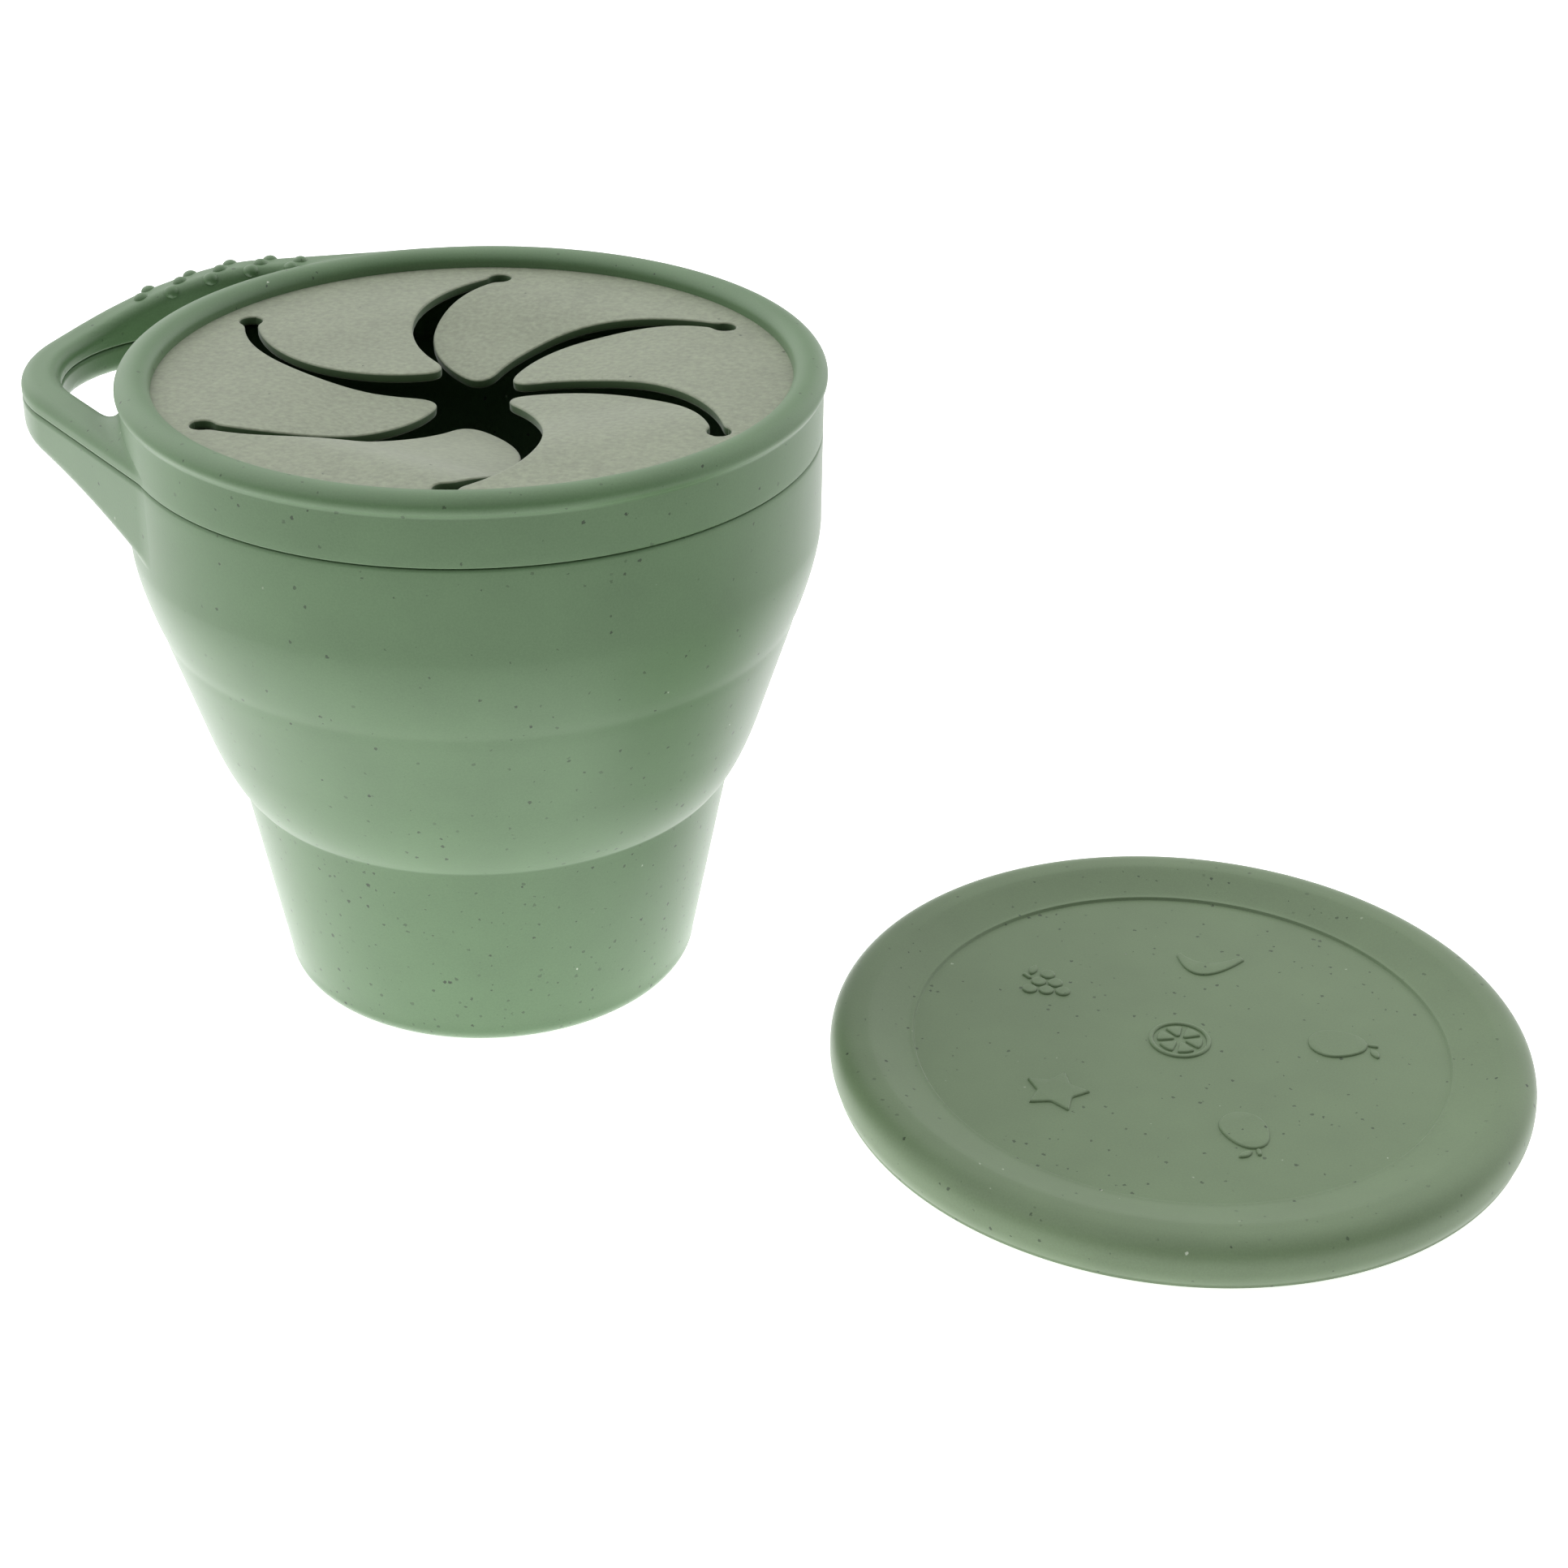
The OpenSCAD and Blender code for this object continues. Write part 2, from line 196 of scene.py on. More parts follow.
def turned_solid(name, profile, centre=(0, 0), longest=1.2):
    """Turns a profile of (radius, height) points round an upright axis.
    A profile that starts and ends on the axis is open there, and any other is a loop."""
    profile = np.array(profile, float)
    on_axis = profile[0][0] < 1e-6
    if not on_axis:
        profile = np.vstack([profile, profile[:1]])
    profile = short_steps(profile, longest)
    if not on_axis:
        profile = profile[:-1]
    rings, vertices = [], []
    for radius, height in profile:
        count = 1 if radius < 1e-6 else ROUND_STEPS
        angle = np.linspace(0, 2 * math.pi, count, endpoint=False)
        rings.append(np.arange(count) + len(vertices))
        x, y = centre[0] + radius * np.cos(angle), centre[1] + radius * np.sin(angle)
        vertices.extend(zip(x, y, np.full(count, height)))
    faces = []
    pairs = list(zip(rings, rings[1:])) + ([] if on_axis else [(rings[-1], rings[0])])
    for low, high in pairs:
        for i in range(ROUND_STEPS):
            j = (i + 1) % ROUND_STEPS
            corners = [low[i % len(low)], low[j % len(low)]]
            corners += [high[j % len(high)], high[i % len(high)]]
            faces.append(list(dict.fromkeys(int(c) for c in corners)))
    return solid(name, vertices, faces)


# %% [markdown]
# The cup is one moulding, from its foot to the neck that the lid grips. It could be
# three lathed tiers, but silicone shows no joint between them, so it is turned as one
# skin. The upper tier slides down over the base, and the fold wall between them turns
# inside out.

# %% Cup
FOLD_FOOT = (BASE_TOP_R, FOLD_Z)
FOLD_SHOULDER = (38.6, FOLD_Z + 11.6)
FOLD_BULGE = 2.65
FOLD_PULL = (FOLD_SHOULDER[0] - FOLD_BULGE, FOLD_Z + FOLD_BULGE)
UPPER_STRAIGHT_Z = SEAM_Z - 12.4
UPPER_PULL = (SHOULDER_R - 0.1, UPPER_Z + 0.65 * (UPPER_STRAIGHT_Z - UPPER_Z))
SEAM_ROUND = 0.5
SEAM_GAP = 0.12
NECK_R = SHOULDER_R - 2.85
NECK_WALL = 1.8
FILLET = 0.9
CREASE_DEEP = 0.05
CREASE_W = 1.2

foot = arc_points((FOOT_R - FOOT_ROUND, FOOT_ROUND), FOOT_ROUND, -90, 0)
base_side = eased_corners([
    (*foot[-1], 0),
    (*FOLD_FOOT, FILLET),
    (*bent(FOLD_FOOT, FOLD_PULL, FOLD_SHOULDER)[2], 0),
])
fold_side = bent(FOLD_FOOT, FOLD_PULL, FOLD_SHOULDER, 24)[5:]
upper_side = bent((FOLD_TOP_R, UPPER_Z), UPPER_PULL, (SHOULDER_R, UPPER_STRAIGHT_Z), 24)
outside = np.vstack([foot, base_side[1:], fold_side, upper_side])


def cup_radius(height):
    """Outer radius of the cup at a height."""
    return np.interp(height, outside[:, 1], outside[:, 0])


crease_zone = UPPER_Z + np.arange(-3, 3.1, 0.3)
heights = np.unique(np.concatenate([outside[:, 1], crease_zone]))
crease = CREASE_DEEP * np.exp(-(((heights - UPPER_Z) / CREASE_W) ** 2))
outside = np.column_stack([cup_radius(heights) - crease, heights])

neck = eased_corners([
    (SHOULDER_R, UPPER_STRAIGHT_Z, 0),
    (SHOULDER_R, SEAM_Z, SEAM_ROUND),
    (NECK_R, SEAM_Z, 0.4),
    (NECK_R, NECK_TOP_Z, 0.6),
    (NECK_R - NECK_WALL, NECK_TOP_Z, 0.6),
    (NECK_R - NECK_WALL, SEAM_Z - 2, 0.5),
    (SHOULDER_R - WALL, SEAM_Z - 4, 0.5),
    (SHOULDER_R - WALL, UPPER_STRAIGHT_Z, 0),
])
inside = outside[len(foot):-1][::-1] - [WALL, 0]
inner_foot = arc_points((FOOT_R - WALL - FOOT_ROUND, FLOOR_T + FOOT_ROUND), FOOT_ROUND, 0, -90)
cup_profile = np.vstack([
    [[0, 0]], outside[:-1], neck[1:-1], inside, inner_foot, [[0, FLOOR_T]],
])
cup = turned_solid("cup_wall", cup_profile)
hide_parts("cup_base", "fold_wall", "cup_upper")
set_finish(cup, "cup_silicone")
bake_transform(cup)


# %% [markdown]
# The lid's ring is a skirt that hangs over the neck, with a bead along its top edge
# and a small hollow fillet under it. Both are drawn as true arcs and then pressed in
# height. The ring is lathed too, and its lowest edge is rounded like the cup's
# shoulder, so that the two roundings leave a fine dark seam between cup and lid.

# %% Lid ring
BEAD_R = 2.25
BEAD_FLAT = 0.71
BEAD_C = np.array([LID_EDGE_R - BEAD_R, LID_TOP_Z - BEAD_R * BEAD_FLAT])
SKIRT_IN_R = SHOULDER_R - 2.6
HOLLOW_R = 1.2
SKIRT_ROUND = 0.25


def flattened(points):
    """Points drawn for a round bead, pressed in height towards the bead's middle."""
    return (points - BEAD_C) * [1, BEAD_FLAT] + BEAD_C


hollow_drop = math.sqrt((BEAD_R + HOLLOW_R) ** 2 - (SHOULDER_R + HOLLOW_R - BEAD_C[0]) ** 2)
hollow_c = np.array([SHOULDER_R + HOLLOW_R, BEAD_C[1] - hollow_drop])
to_bead = math.degrees(math.atan2(*(BEAD_C - hollow_c)[::-1]))
hollow = flattened(arc_points(hollow_c, HOLLOW_R, 180, to_bead, 8))
bead = flattened(arc_points(BEAD_C, BEAD_R, to_bead - 180, 180, 40))
skirt = eased_corners([
    (BEAD_C[0] - BEAD_R, MEMBRANE_LOW, 0),
    (SKIRT_IN_R, MEMBRANE_LOW, 0.4),
    (SKIRT_IN_R, SEAM_Z + SEAM_GAP, SKIRT_ROUND),
    (SHOULDER_R, SEAM_Z + SEAM_GAP, SKIRT_ROUND),
    (*hollow[0], 0),
])
ring = turned_solid("lid_ring_bead", np.vstack([skirt, hollow[1:], bead[1:]]))
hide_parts("lid_ring")
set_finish(ring, "lid_silicone")
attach(ring, "lid")


# %% [markdown]
# Six curved slits cut the lid's skin into petals. Each slit is an arc that starts at a
# round hole near the rim and widens towards the middle. Booleans could cut them out of
# a disc, but they leave ragged faces along a curve, so the skin is drawn flat as
# outlines: one petal's, pointing along X, and the still skin's.

# %% Slit outlines
PETAL_DIRECTION = 19.6
PETAL_COUNT = 6
PETAL_STEP = 360 / PETAL_COUNT
SKIN_MID_Z = (MEMBRANE_LOW + MEMBRANE_HIGH) / 2
HOLE_R = 1.6
SLIT_END_R = BEAD_C[0] - BEAD_R - 4.4
SLIT_INNER_R = 7.6
SLIT_SWIRL = 32.8
SLIT_TURN = 94
SLIT_W = 1.6
SLIT_INNER_W = 3.2
TIP_REACH = 2.2
HINGE_X = SLIT_END_R * math.cos(math.radians(PETAL_STEP / 2))
BORDER_X = HINGE_X + 1.2
SKIN_STEP = 0.35


def turned(points, angle):
    """Flat points turned about the lid's axis, by an angle in degrees."""
    c, s = math.cos(math.radians(angle)), math.sin(math.radians(angle))
    return np.asarray(points) @ np.array([[c, s], [-s, c]])


slit_outer = np.array([SLIT_END_R, 0])
slit_inner = turned([SLIT_INNER_R, 0], SLIT_SWIRL)
slit_chord = slit_inner - slit_outer
half_turn = math.radians(SLIT_TURN / 2)
slit_r = np.linalg.norm(slit_chord) / 2 / math.sin(half_turn)
slit_back = left_of([slit_chord])[0]
slit_c = (slit_outer + slit_inner) / 2 + slit_r * math.cos(half_turn) * slit_back
slit_a0 = math.degrees(math.atan2(-slit_c[1], SLIT_END_R - slit_c[0]))


def slit_side(share, side):
    """A slit's side, from its outer end at share 0 to its inner end at share 1."""
    angle = np.radians(slit_a0 + SLIT_TURN * share)
    radius = slit_r + side * (SLIT_W + (SLIT_INNER_W - SLIT_W) * share) / 2
    return slit_c + radius[:, None] * np.column_stack([np.cos(angle), np.sin(angle)])


def even(points, step):
    """The same line with points an even step apart."""
    along = np.concatenate([[0], np.cumsum(np.linalg.norm(np.diff(points, axis=0), axis=1))])
    at = np.linspace(0, along[-1], max(2, round(along[-1] / step) + 1))
    return np.column_stack([np.interp(at, along, points[:, k]) for k in (0, 1)])


def hole_arc(centre, start, end, steps=24):
    """The part of a hole's edge that leads from one point to another."""
    first, last = (math.degrees(math.atan2(y, x)) for x, y in (start - centre, end - centre))
    return arc_points(centre, HOLE_R, first, last, steps)


hole_low = turned([SLIT_END_R, 0], -PETAL_STEP / 2)
hole_high = turned([SLIT_END_R, 0], PETAL_STEP / 2)
border_half = SLIT_END_R / 2 - math.sqrt(HOLE_R**2 - (BORDER_X - HINGE_X) ** 2)
border_low = np.array([BORDER_X, -border_half])
border_high = np.array([BORDER_X, border_half])
share = np.linspace(0, 1, 160)
near = turned(slit_side(share, 1), -PETAL_STEP / 2)
far = turned(slit_side(share, -1), PETAL_STEP / 2)
near = near[np.linalg.norm(near - hole_low, axis=1) > HOLE_R]
far = far[np.linalg.norm(far - hole_high, axis=1) > HOLE_R]
tip_pull = unit(near[-1] - near[-2]) + unit(far[-1] - far[-2])
tip = bent(far[-1], (near[-1] + far[-1]) / 2 + tip_pull * TIP_REACH, near[-1], 16)
high_arc = hole_arc(hole_high, border_high, far[0])
low_arc = hole_arc(hole_low, near[0], border_low, 10)
skin_arc = hole_arc(hole_high, border_high, turned(border_low, PETAL_STEP))
petal_edge = np.vstack([high_arc, far[1:], tip[1:], near[::-1][1:], low_arc[1:]])
petal_edge = even(petal_edge, SKIN_STEP)
for _ in range(6):
    petal_edge[1:-1] += 0.5 * ((petal_edge[:-2] + petal_edge[2:]) / 2 - petal_edge[1:-1])
print("petal edge points:", len(petal_edge), "hinge at", round(HINGE_X, 2))


# %% [markdown]
# Each outline becomes a plate whose cut edges are rounded: rings of points stand at
# several depths, each moved in by what the rounding takes there. A Bevel modifier could
# do it too, but at the slits' tight ends a bevel overlaps itself. The petals bend, so
# their plates are cut across into narrow strips.

# %% Plates
EDGE_ROUND = 0.3
SHARP_FROM = 40


def inward(edge, start_along, end_along):
    """Unit steps into the material, left of an open edge. Its ends move along given lines."""
    step = left_of(np.gradient(edge, axis=0))
    for end, along in ((0, start_along), (-1, end_along)):
        along = np.array(along, float)
        step[end] = along / abs(along @ step[end])
    return step


def plate(edges, low, high, strips=(), rounding=EDGE_ROUND):
    """A flat plate between two heights. edges are loops of (points, steps into the material).
    Strips are cuts across the plate at these X values."""
    quarter = np.radians(np.linspace(0, 90, 5))
    rim_in = rounding * (1 - np.sin(quarter))
    rim_up = rounding * (1 - np.cos(quarter))
    levels = [*zip(rim_in, low + rim_up), *zip(rim_in[::-1], (high - rim_up)[::-1])]
    shell = bmesh.new()
    bottom, top = [], []
    for points, steps in edges:
        rings = [
            [shell.verts.new((x, y, z)) for x, y in points + steps * move] for move, z in levels
        ]
        sides = [(i, (i + 1) % len(points)) for i in range(len(points))]
        for lower, upper in zip(rings, rings[1:]):
            for i, j in sides:
                shell.faces.new((lower[i], lower[j], upper[j], upper[i]))
        for ring, loop in ((rings[0], bottom), (rings[-1], top)):
            loop += [shell.edges.get((ring[i], ring[j])) for i, j in sides]
    for loop in (bottom, top):
        bmesh.ops.triangle_fill(shell, edges=loop, use_beauty=True)
    bmesh.ops.recalc_face_normals(shell, faces=shell.faces)
    for x in strips:
        bmesh.ops.bisect_plane(
            shell, geom=shell.verts[:] + shell.edges[:] + shell.faces[:],
            plane_co=(x, 0, 0), plane_no=(1, 0, 0), dist=1e-4,
        )
    bmesh.ops.triangulate(shell, faces=[f for f in shell.faces if len(f.verts) > 4])
    shell.verts.index_update()
    vertices = np.array([v.co for v in shell.verts])
    faces = [[v.index for v in f.verts] for f in shell.faces]
    shell.free()
    return vertices, faces


def crisp(piece):
    """Keeps flat faces flat beside their rounded edges."""
    piece.data.set_sharp_from_angle(angle=math.radians(SHARP_FROM))
    weighted = piece.modifiers.new("flat faces", "WEIGHTED_NORMAL")
    weighted.keep_sharp = True
    weighted.weight = 90
    return piece


print("cut edges are rounded by", EDGE_ROUND, "mm")


# %% [markdown]
# The real petals don't lie quite level: soft silicone sags, and each petal has its own
# sag in degrees and its own length in millimetres over which it bends. The turn about
# the hinge line grows smoothly over that length, so the skin curves and doesn't kink.
# The still skin outside the petals is one plate that ends at the same straight lines.

# %% Petals and still skin
PETAL_SAGS = ((4.8, 18), (6.8, 18), (1.4, 18), (6.4, 20), (11.2, 11), (5.0, 18))
strip_cuts = np.arange(BORDER_X - 0.4, BORDER_X - 11, -0.4).tolist()
strip_cuts += np.arange(BORDER_X - 12.5, 0, -1.5).tolist()


def smooth_share(value):
    """A share that leaves 0 and reaches 1 without a jolt."""
    value = np.clip(value, 0, 1)
    return value * value * (3 - 2 * value)


def sagged(vertices, sag, soft):
    """Petal points turned about the hinge line, more and more over a soft length past it."""
    out = np.array(vertices, float)
    inward_x = HINGE_X - out[:, 0]
    turn = np.radians(sag) * smooth_share((BORDER_X - out[:, 0]) / (BORDER_X - HINGE_X + soft))
    height = out[:, 2] - SKIN_MID_Z
    out[:, 0] = HINGE_X - inward_x * np.cos(turn) - height * np.sin(turn)
    out[:, 2] = SKIN_MID_Z - inward_x * np.sin(turn) + height * np.cos(turn)
    return out


border = short_steps(np.array([border_low, border_high]), 2)[1:-1]
still = border * 0
petal_loop = np.vstack([petal_edge, border])
petal_steps = np.vstack([inward(petal_edge, (0, -1), (0, 1)), still])
flat_vertices, petal_faces = plate(
    [(petal_loop, petal_steps)], MEMBRANE_LOW, MEMBRANE_HIGH, strips=strip_cuts
)
for number, (sag, soft) in enumerate(PETAL_SAGS):
    heading = PETAL_DIRECTION + number * PETAL_STEP
    vertices = sagged(flat_vertices, sag, soft)
    vertices[:, :2] = turned(vertices[:, :2], heading)
    petal = crisp(solid(f"petal_skin_{number + 1}", vertices, petal_faces))
    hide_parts(f"petal_{number + 1}")
    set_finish(petal, "membrane_silicone")
    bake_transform(petal)

RIM_OVERLAP = 0.06
skin_loop, skin_steps = [], []
arc_steps = -inward(skin_arc, (0, 1), -turned([0, 1], PETAL_STEP))
for number in range(PETAL_COUNT):
    heading = PETAL_DIRECTION + number * PETAL_STEP
    skin_loop.append(turned(np.vstack([border, skin_arc]), heading))
    skin_steps.append(turned(np.vstack([still, arc_steps]), heading))
outer_loop = arc_points((0, 0), BEAD_C[0] - BEAD_R + RIM_OVERLAP, 0, 358.5, 239)
skin_vertices, skin_faces = plate(
    [(outer_loop, outer_loop * 0), (np.vstack(skin_loop), np.vstack(skin_steps))],
    MEMBRANE_LOW, MEMBRANE_HIGH,
)
skin = crisp(solid("lid_skin", skin_vertices, skin_faces))
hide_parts("lid_membrane")
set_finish(skin, "membrane_silicone")
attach(skin, "lid")


# %% [markdown]
# The carrying loop is a band that leaves the cup as two straight arms and closes in a
# half round. It is split at the seam: its upper half belongs to the lid and its lower
# half to the cup. Where an arm meets the cup there are generous fillets, which a lathe
# or a swept tube can't give. So each half is a distance function, the band's distance
# melted softly into the cup's, and a net of points is drawn where the distance is
# nought. For the net, space is cut into cells. Where both sides of a thin edge pass
# through one cell, each is a sheet with its own point, or the net would pinch there.

# %% Sheets in a cell
def sheets_of_cells():
    """For each of the 256 patterns of solid corners, the sheet of each cell edge. Two
    edges share a sheet where a face of the cell shows them beside the same solid corner."""
    face_corners = ((0, 0), (1, 0), (1, 1), (0, 1))
    edges = []
    for axis in range(3):
        for shift in product((0, 1), repeat=2):
            ends = [np.insert(shift, axis, end) for end in (0, 1)]
            edges.append(frozenset(int(end @ (4, 2, 1)) for end in ends))
    table = np.zeros((256, 12), int)
    for pattern in range(256):
        owner = list(range(12))
        for axis, level in product(range(3), (0, 1)):
            ring = [int(np.insert(c, axis, level) @ (4, 2, 1)) for c in face_corners]
            full = [pattern >> corner & 1 for corner in ring]
            beside = [edges.index(frozenset((ring[k], ring[k - 3]))) for k in range(4)]
            crossed = [k for k in range(4) if full[k] != full[k - 3]]
            if len(crossed) == 4:
                pairs = [(k - 1, k) for k in range(4) if full[k]]
            else:
                pairs = [crossed] if crossed else []
            for first, second in pairs:
                kept, lost = owner[beside[first]], owner[beside[second]]
                owner = [kept if o == lost else o for o in owner]
        cut = [k for k, pair in enumerate(edges) if len({pattern >> c & 1 for c in pair}) == 2]
        names = sorted({owner[k] for k in cut})
        for k in cut:
            table[pattern, k] = names.index(owner[k])
    return table


SHEETS = sheets_of_cells()
print("patterns with more than one sheet:", int((SHEETS.max(1) > 0).sum()))


# %% [markdown]
# A sheet's point is the mean of the places where it crosses the cell's edges. Each
# crossed edge gives one face, between the points of the four cells round it. A few
# steps down the slope of the distance then set the points on the surface.

# %% Surface nets
SETTLE_ROUNDS = 4
SETTLE_MOST = 0.3


def slope(field, points, reach=0.02):
    """How fast a distance function grows along X, Y and Z at each point."""
    out = []
    for step in np.eye(3) * reach:
        out.append((field(points + step) - field(points - step)) / (2 * reach))
    return np.column_stack(out)


def net_over(field, xs, ys, zs):
    """Points and faces over the surface where field is 0. Inside, it is below 0."""
    grid = np.stack(np.meshgrid(xs, ys, zs, indexing="ij"), -1)
    value = field(grid.reshape(-1, 3)).reshape(grid.shape[:3])
    solid_at = value < 0
    cells = tuple(n - 1 for n in value.shape)
    pattern = np.zeros(cells, int)
    for number, (x, y, z) in enumerate(product((0, 1), repeat=3)):
        window = solid_at[x:cells[0] + x, y:cells[1] + y, z:cells[2] + z]
        pattern |= window.astype(int) << number
    mixed = (pattern > 0) & (pattern < 255)
    sheet_count = np.where(mixed, SHEETS[pattern].max(-1) + 1, 0)
    first = np.cumsum(sheet_count).reshape(cells) - sheet_count
    total, hits = np.zeros((sheet_count.sum(), 3)), np.zeros(sheet_count.sum())
    faces = []
    for axis in range(3):
        at = np.argwhere(np.diff(solid_at, axis=axis))
        end = at + np.eye(3, dtype=int)[axis]
        value_at, value_end = value[tuple(at.T)], value[tuple(end.T)]
        share = (value_at / (value_at - value_end))[:, None]
        place = grid[tuple(at.T)] * (1 - share) + grid[tuple(end.T)] * share
        around = []
        for number, shift in enumerate(product((0, 1), repeat=2)):
            cell = tuple((at - np.insert(shift, axis, 0)).T)
            point = first[cell] + SHEETS[pattern[cell], axis * 4 + number]
            np.add.at(total, point, place)
            np.add.at(hits, point, 1)
            around.append(point)
        quads = np.column_stack([around[k] for k in (3, 1, 0, 2)])
        flip = (value_at < 0) == (axis == 1)
        quads[flip] = quads[flip][:, ::-1]
        faces += quads.tolist()
    points = total / hits[:, None]
    for _ in range(SETTLE_ROUNDS):
        lean = slope(field, points)
        step = field(points) / np.maximum((lean**2).sum(1), 0.05)
        points -= np.clip(step, -SETTLE_MOST, SETTLE_MOST)[:, None] * lean
    return points, faces


def melted(a, b, reach):
    """The smaller of two distances, rounded off where they are within reach."""
    near_by = np.maximum(reach - np.abs(a - b), 0) / reach
    return np.minimum(a, b) - near_by**2 * reach / 4


print("rounds for points to settle:", SETTLE_ROUNDS)


# %% [markdown]
# A place on the band is told by three numbers: how far it is along the band from the
# loop's far end, how far across, and how high. The arm on the +Y side climbs to the
# bead and carries the grip dots. The other arm stays low. Below the seam both arms
# deepen into gussets, the low arm's a little more.

# %% Band
BAND_HALF = 2.6
LOOP_END_R = 22.4
LOOP_C_X = LOOP_END_R - HANDLE_REACH
BAND_R = LOOP_END_R - BAND_HALF
LOW_ARM_H = 2.65
HIGH_ARM_H = 9.1
CLIMB_LEN = 30.5
END_DEPTH = 3.8
ROOT_DEPTH = 12.6
PLAIN_DEEPER = 1.2
DEEPER_FROM = 1.92
DEEPER_OVER = 16


def arm(tangent_r):
    """A straight arm that touches a circle about the cup: its angle, length, way and
    outward step."""
    angle = math.acos((tangent_r - LOOP_END_R) / -LOOP_C_X)
    length = math.sqrt(LOOP_C_X**2 - (tangent_r - LOOP_END_R) ** 2)
    way = np.array([math.sin(angle), math.cos(angle)])
    outward = np.array([-math.cos(angle), math.sin(angle)])
    return angle, length, way, outward


PLAIN_ARM = arm(SHOULDER_R - 0.55)
DOTTED_ARM = arm(LID_EDGE_R)
ROOT_X = -(SHOULDER_R - 0.3) * math.cos(PLAIN_ARM[0])


def on_band(points):
    """Distance along the band (up on the +Y side), across it (outward is up), the X of
    its middle, and how far a place is past the arm's root."""
    found = np.empty((4, len(points)))
    dotted = points[:, 1] > 0
    for shape, here in ((DOTTED_ARM, dotted), (PLAIN_ARM, ~dotted)):
        angle, length, way, outward = shape
        x, y = points[here, 0] - LOOP_C_X, np.abs(points[here, 1])
        run = x * way[0] + y * way[1]
        turn = np.clip(np.arctan2(y, -x), 0, angle)
        straight = run > 0
        along = np.where(straight, BAND_R * angle + run, BAND_R * turn)
        across = np.where(straight, x * outward[0] + y * outward[1], np.hypot(x, y)) - BAND_R
        middle_x = np.where(straight, BAND_R * outward[0] + run * way[0], -BAND_R * np.cos(turn))
        side = 1 if shape is DOTTED_ARM else -1
        found[:, here] = along * side, across, LOOP_C_X + middle_x, np.maximum(run - length, 0)
    return found


def band_place(along, across):
    """The place on the dotted arm at a distance along the band and across it."""
    angle, _, way, outward = DOTTED_ARM
    turn = min(along / BAND_R, angle)
    step = np.array([-math.cos(turn), math.sin(turn)])
    middle = BAND_R * step + max(along - BAND_R * angle, 0) * way
    return middle + across * step + [LOOP_C_X, 0]


def band_top(along):
    """Height of the band's top above the seam."""
    return LOW_ARM_H + (HIGH_ARM_H - LOW_ARM_H) * smooth_share(along / CLIMB_LEN)


def band_depth(middle_x, along):
    """Depth of the band below the seam. The plain arm is a little deeper."""
    share = np.clip((middle_x + HANDLE_REACH) / (ROOT_X + HANDLE_REACH), 0, 1.1)
    deeper = PLAIN_DEEPER * smooth_share((-along - DEEPER_FROM) / DEEPER_OVER)
    return END_DEPTH + deeper + (ROOT_DEPTH - END_DEPTH) * share**1.9


print("arm lengths, mm:", [round(shape[1], 1) for shape in (PLAIN_ARM, DOTTED_ARM)])


# %% [markdown]
# Each half of the loop is a long bar with two rounded edges, melted into the lid's ring
# or the cup's wall, with a wide fillet only on the inner side. It is then cut off at
# the seam, hollowed where the cup already is, and kept close to the band, so that no
# skin lies twice over the wall.

# %% Carrying loop
BAND_TOP_ROUND = 1.6
BAND_FOOT_ROUND = 1.7
PLAIN_FILLET = 0.3
INNER_FILLET = 3.4
SUNK = 1.3
SEAM_SOFT = {1: 0.35, -1: 0.65}
CUT_SOFT = 0.8
BODY_GAP = 0.03
SKIRT_TO_BEAD = 0.7
FILLET_MARGIN = 0.7


def bar(across, up, height, rounding):
    """Distance to a bar with rounded top edges and no end below."""
    side = np.abs(across) - (BAND_HALF - rounding)
    over = up - (height - rounding)
    outer = np.hypot(np.maximum(side, 0), np.maximum(over, 0))
    return outer + np.minimum(np.maximum(side, over), 0) - rounding


def lid_distance(points):
    """Distance to the outside of the lid's ring."""
    radius, height = np.hypot(points[:, 0], points[:, 1]), points[:, 2]
    out, up = radius - BEAD_C[0], (height - BEAD_C[1]) / BEAD_FLAT
    above = np.where(out > 0, np.hypot(out, up), up) - BEAD_R
    bead_side = np.hypot(np.maximum(out, 0), up) - BEAD_R
    below = melted(radius - SHOULDER_R, bead_side, SKIRT_TO_BEAD)
    return np.where(up > 0, above, below)


def cup_distance(points):
    """Distance to the outside of the cup's upper tier."""
    return (np.hypot(points[:, 0], points[:, 1]) - cup_radius(points[:, 2])) * 0.97


def kept(shape, room, soft):
    """Distance to what is left of a shape where room is above 0, with a softened edge."""
    return -melted(-shape, room, soft)


def moulded_half(points, side):
    """Distance to the loop's upper half (side 1) or lower half (side -1)."""
    along, across, middle_x, past_root = on_band(points)
    radius = np.hypot(points[:, 0], points[:, 1])
    up = (points[:, 2] - SEAM_Z) * side
    inner = smooth_share((BAND_HALF - across) / (1.5 * BAND_HALF))
    if side > 0:
        height, rounding, gap = band_top(along), BAND_TOP_ROUND, SEAM_GAP
        body, core_r = lid_distance(points), BEAD_C[0]
        inner *= 1 - smooth_share((up - LOW_ARM_H) / 3)
    else:
        height, rounding, gap = band_depth(middle_x, along), BAND_FOOT_ROUND, 0
        body, core_r = cup_distance(points), cup_radius(points[:, 2]) - SUNK
    band = bar(across, up, height, rounding) + past_root
    fillet = PLAIN_FILLET + (INNER_FILLET - PLAIN_FILLET) * inner
    joined = melted(band, body + BODY_GAP, fillet)
    joined = kept(joined, up - gap, SEAM_SOFT[side])
    joined = kept(joined, radius - core_r, CUT_SOFT)
    return kept(joined, fillet + FILLET_MARGIN - band, CUT_SOFT)


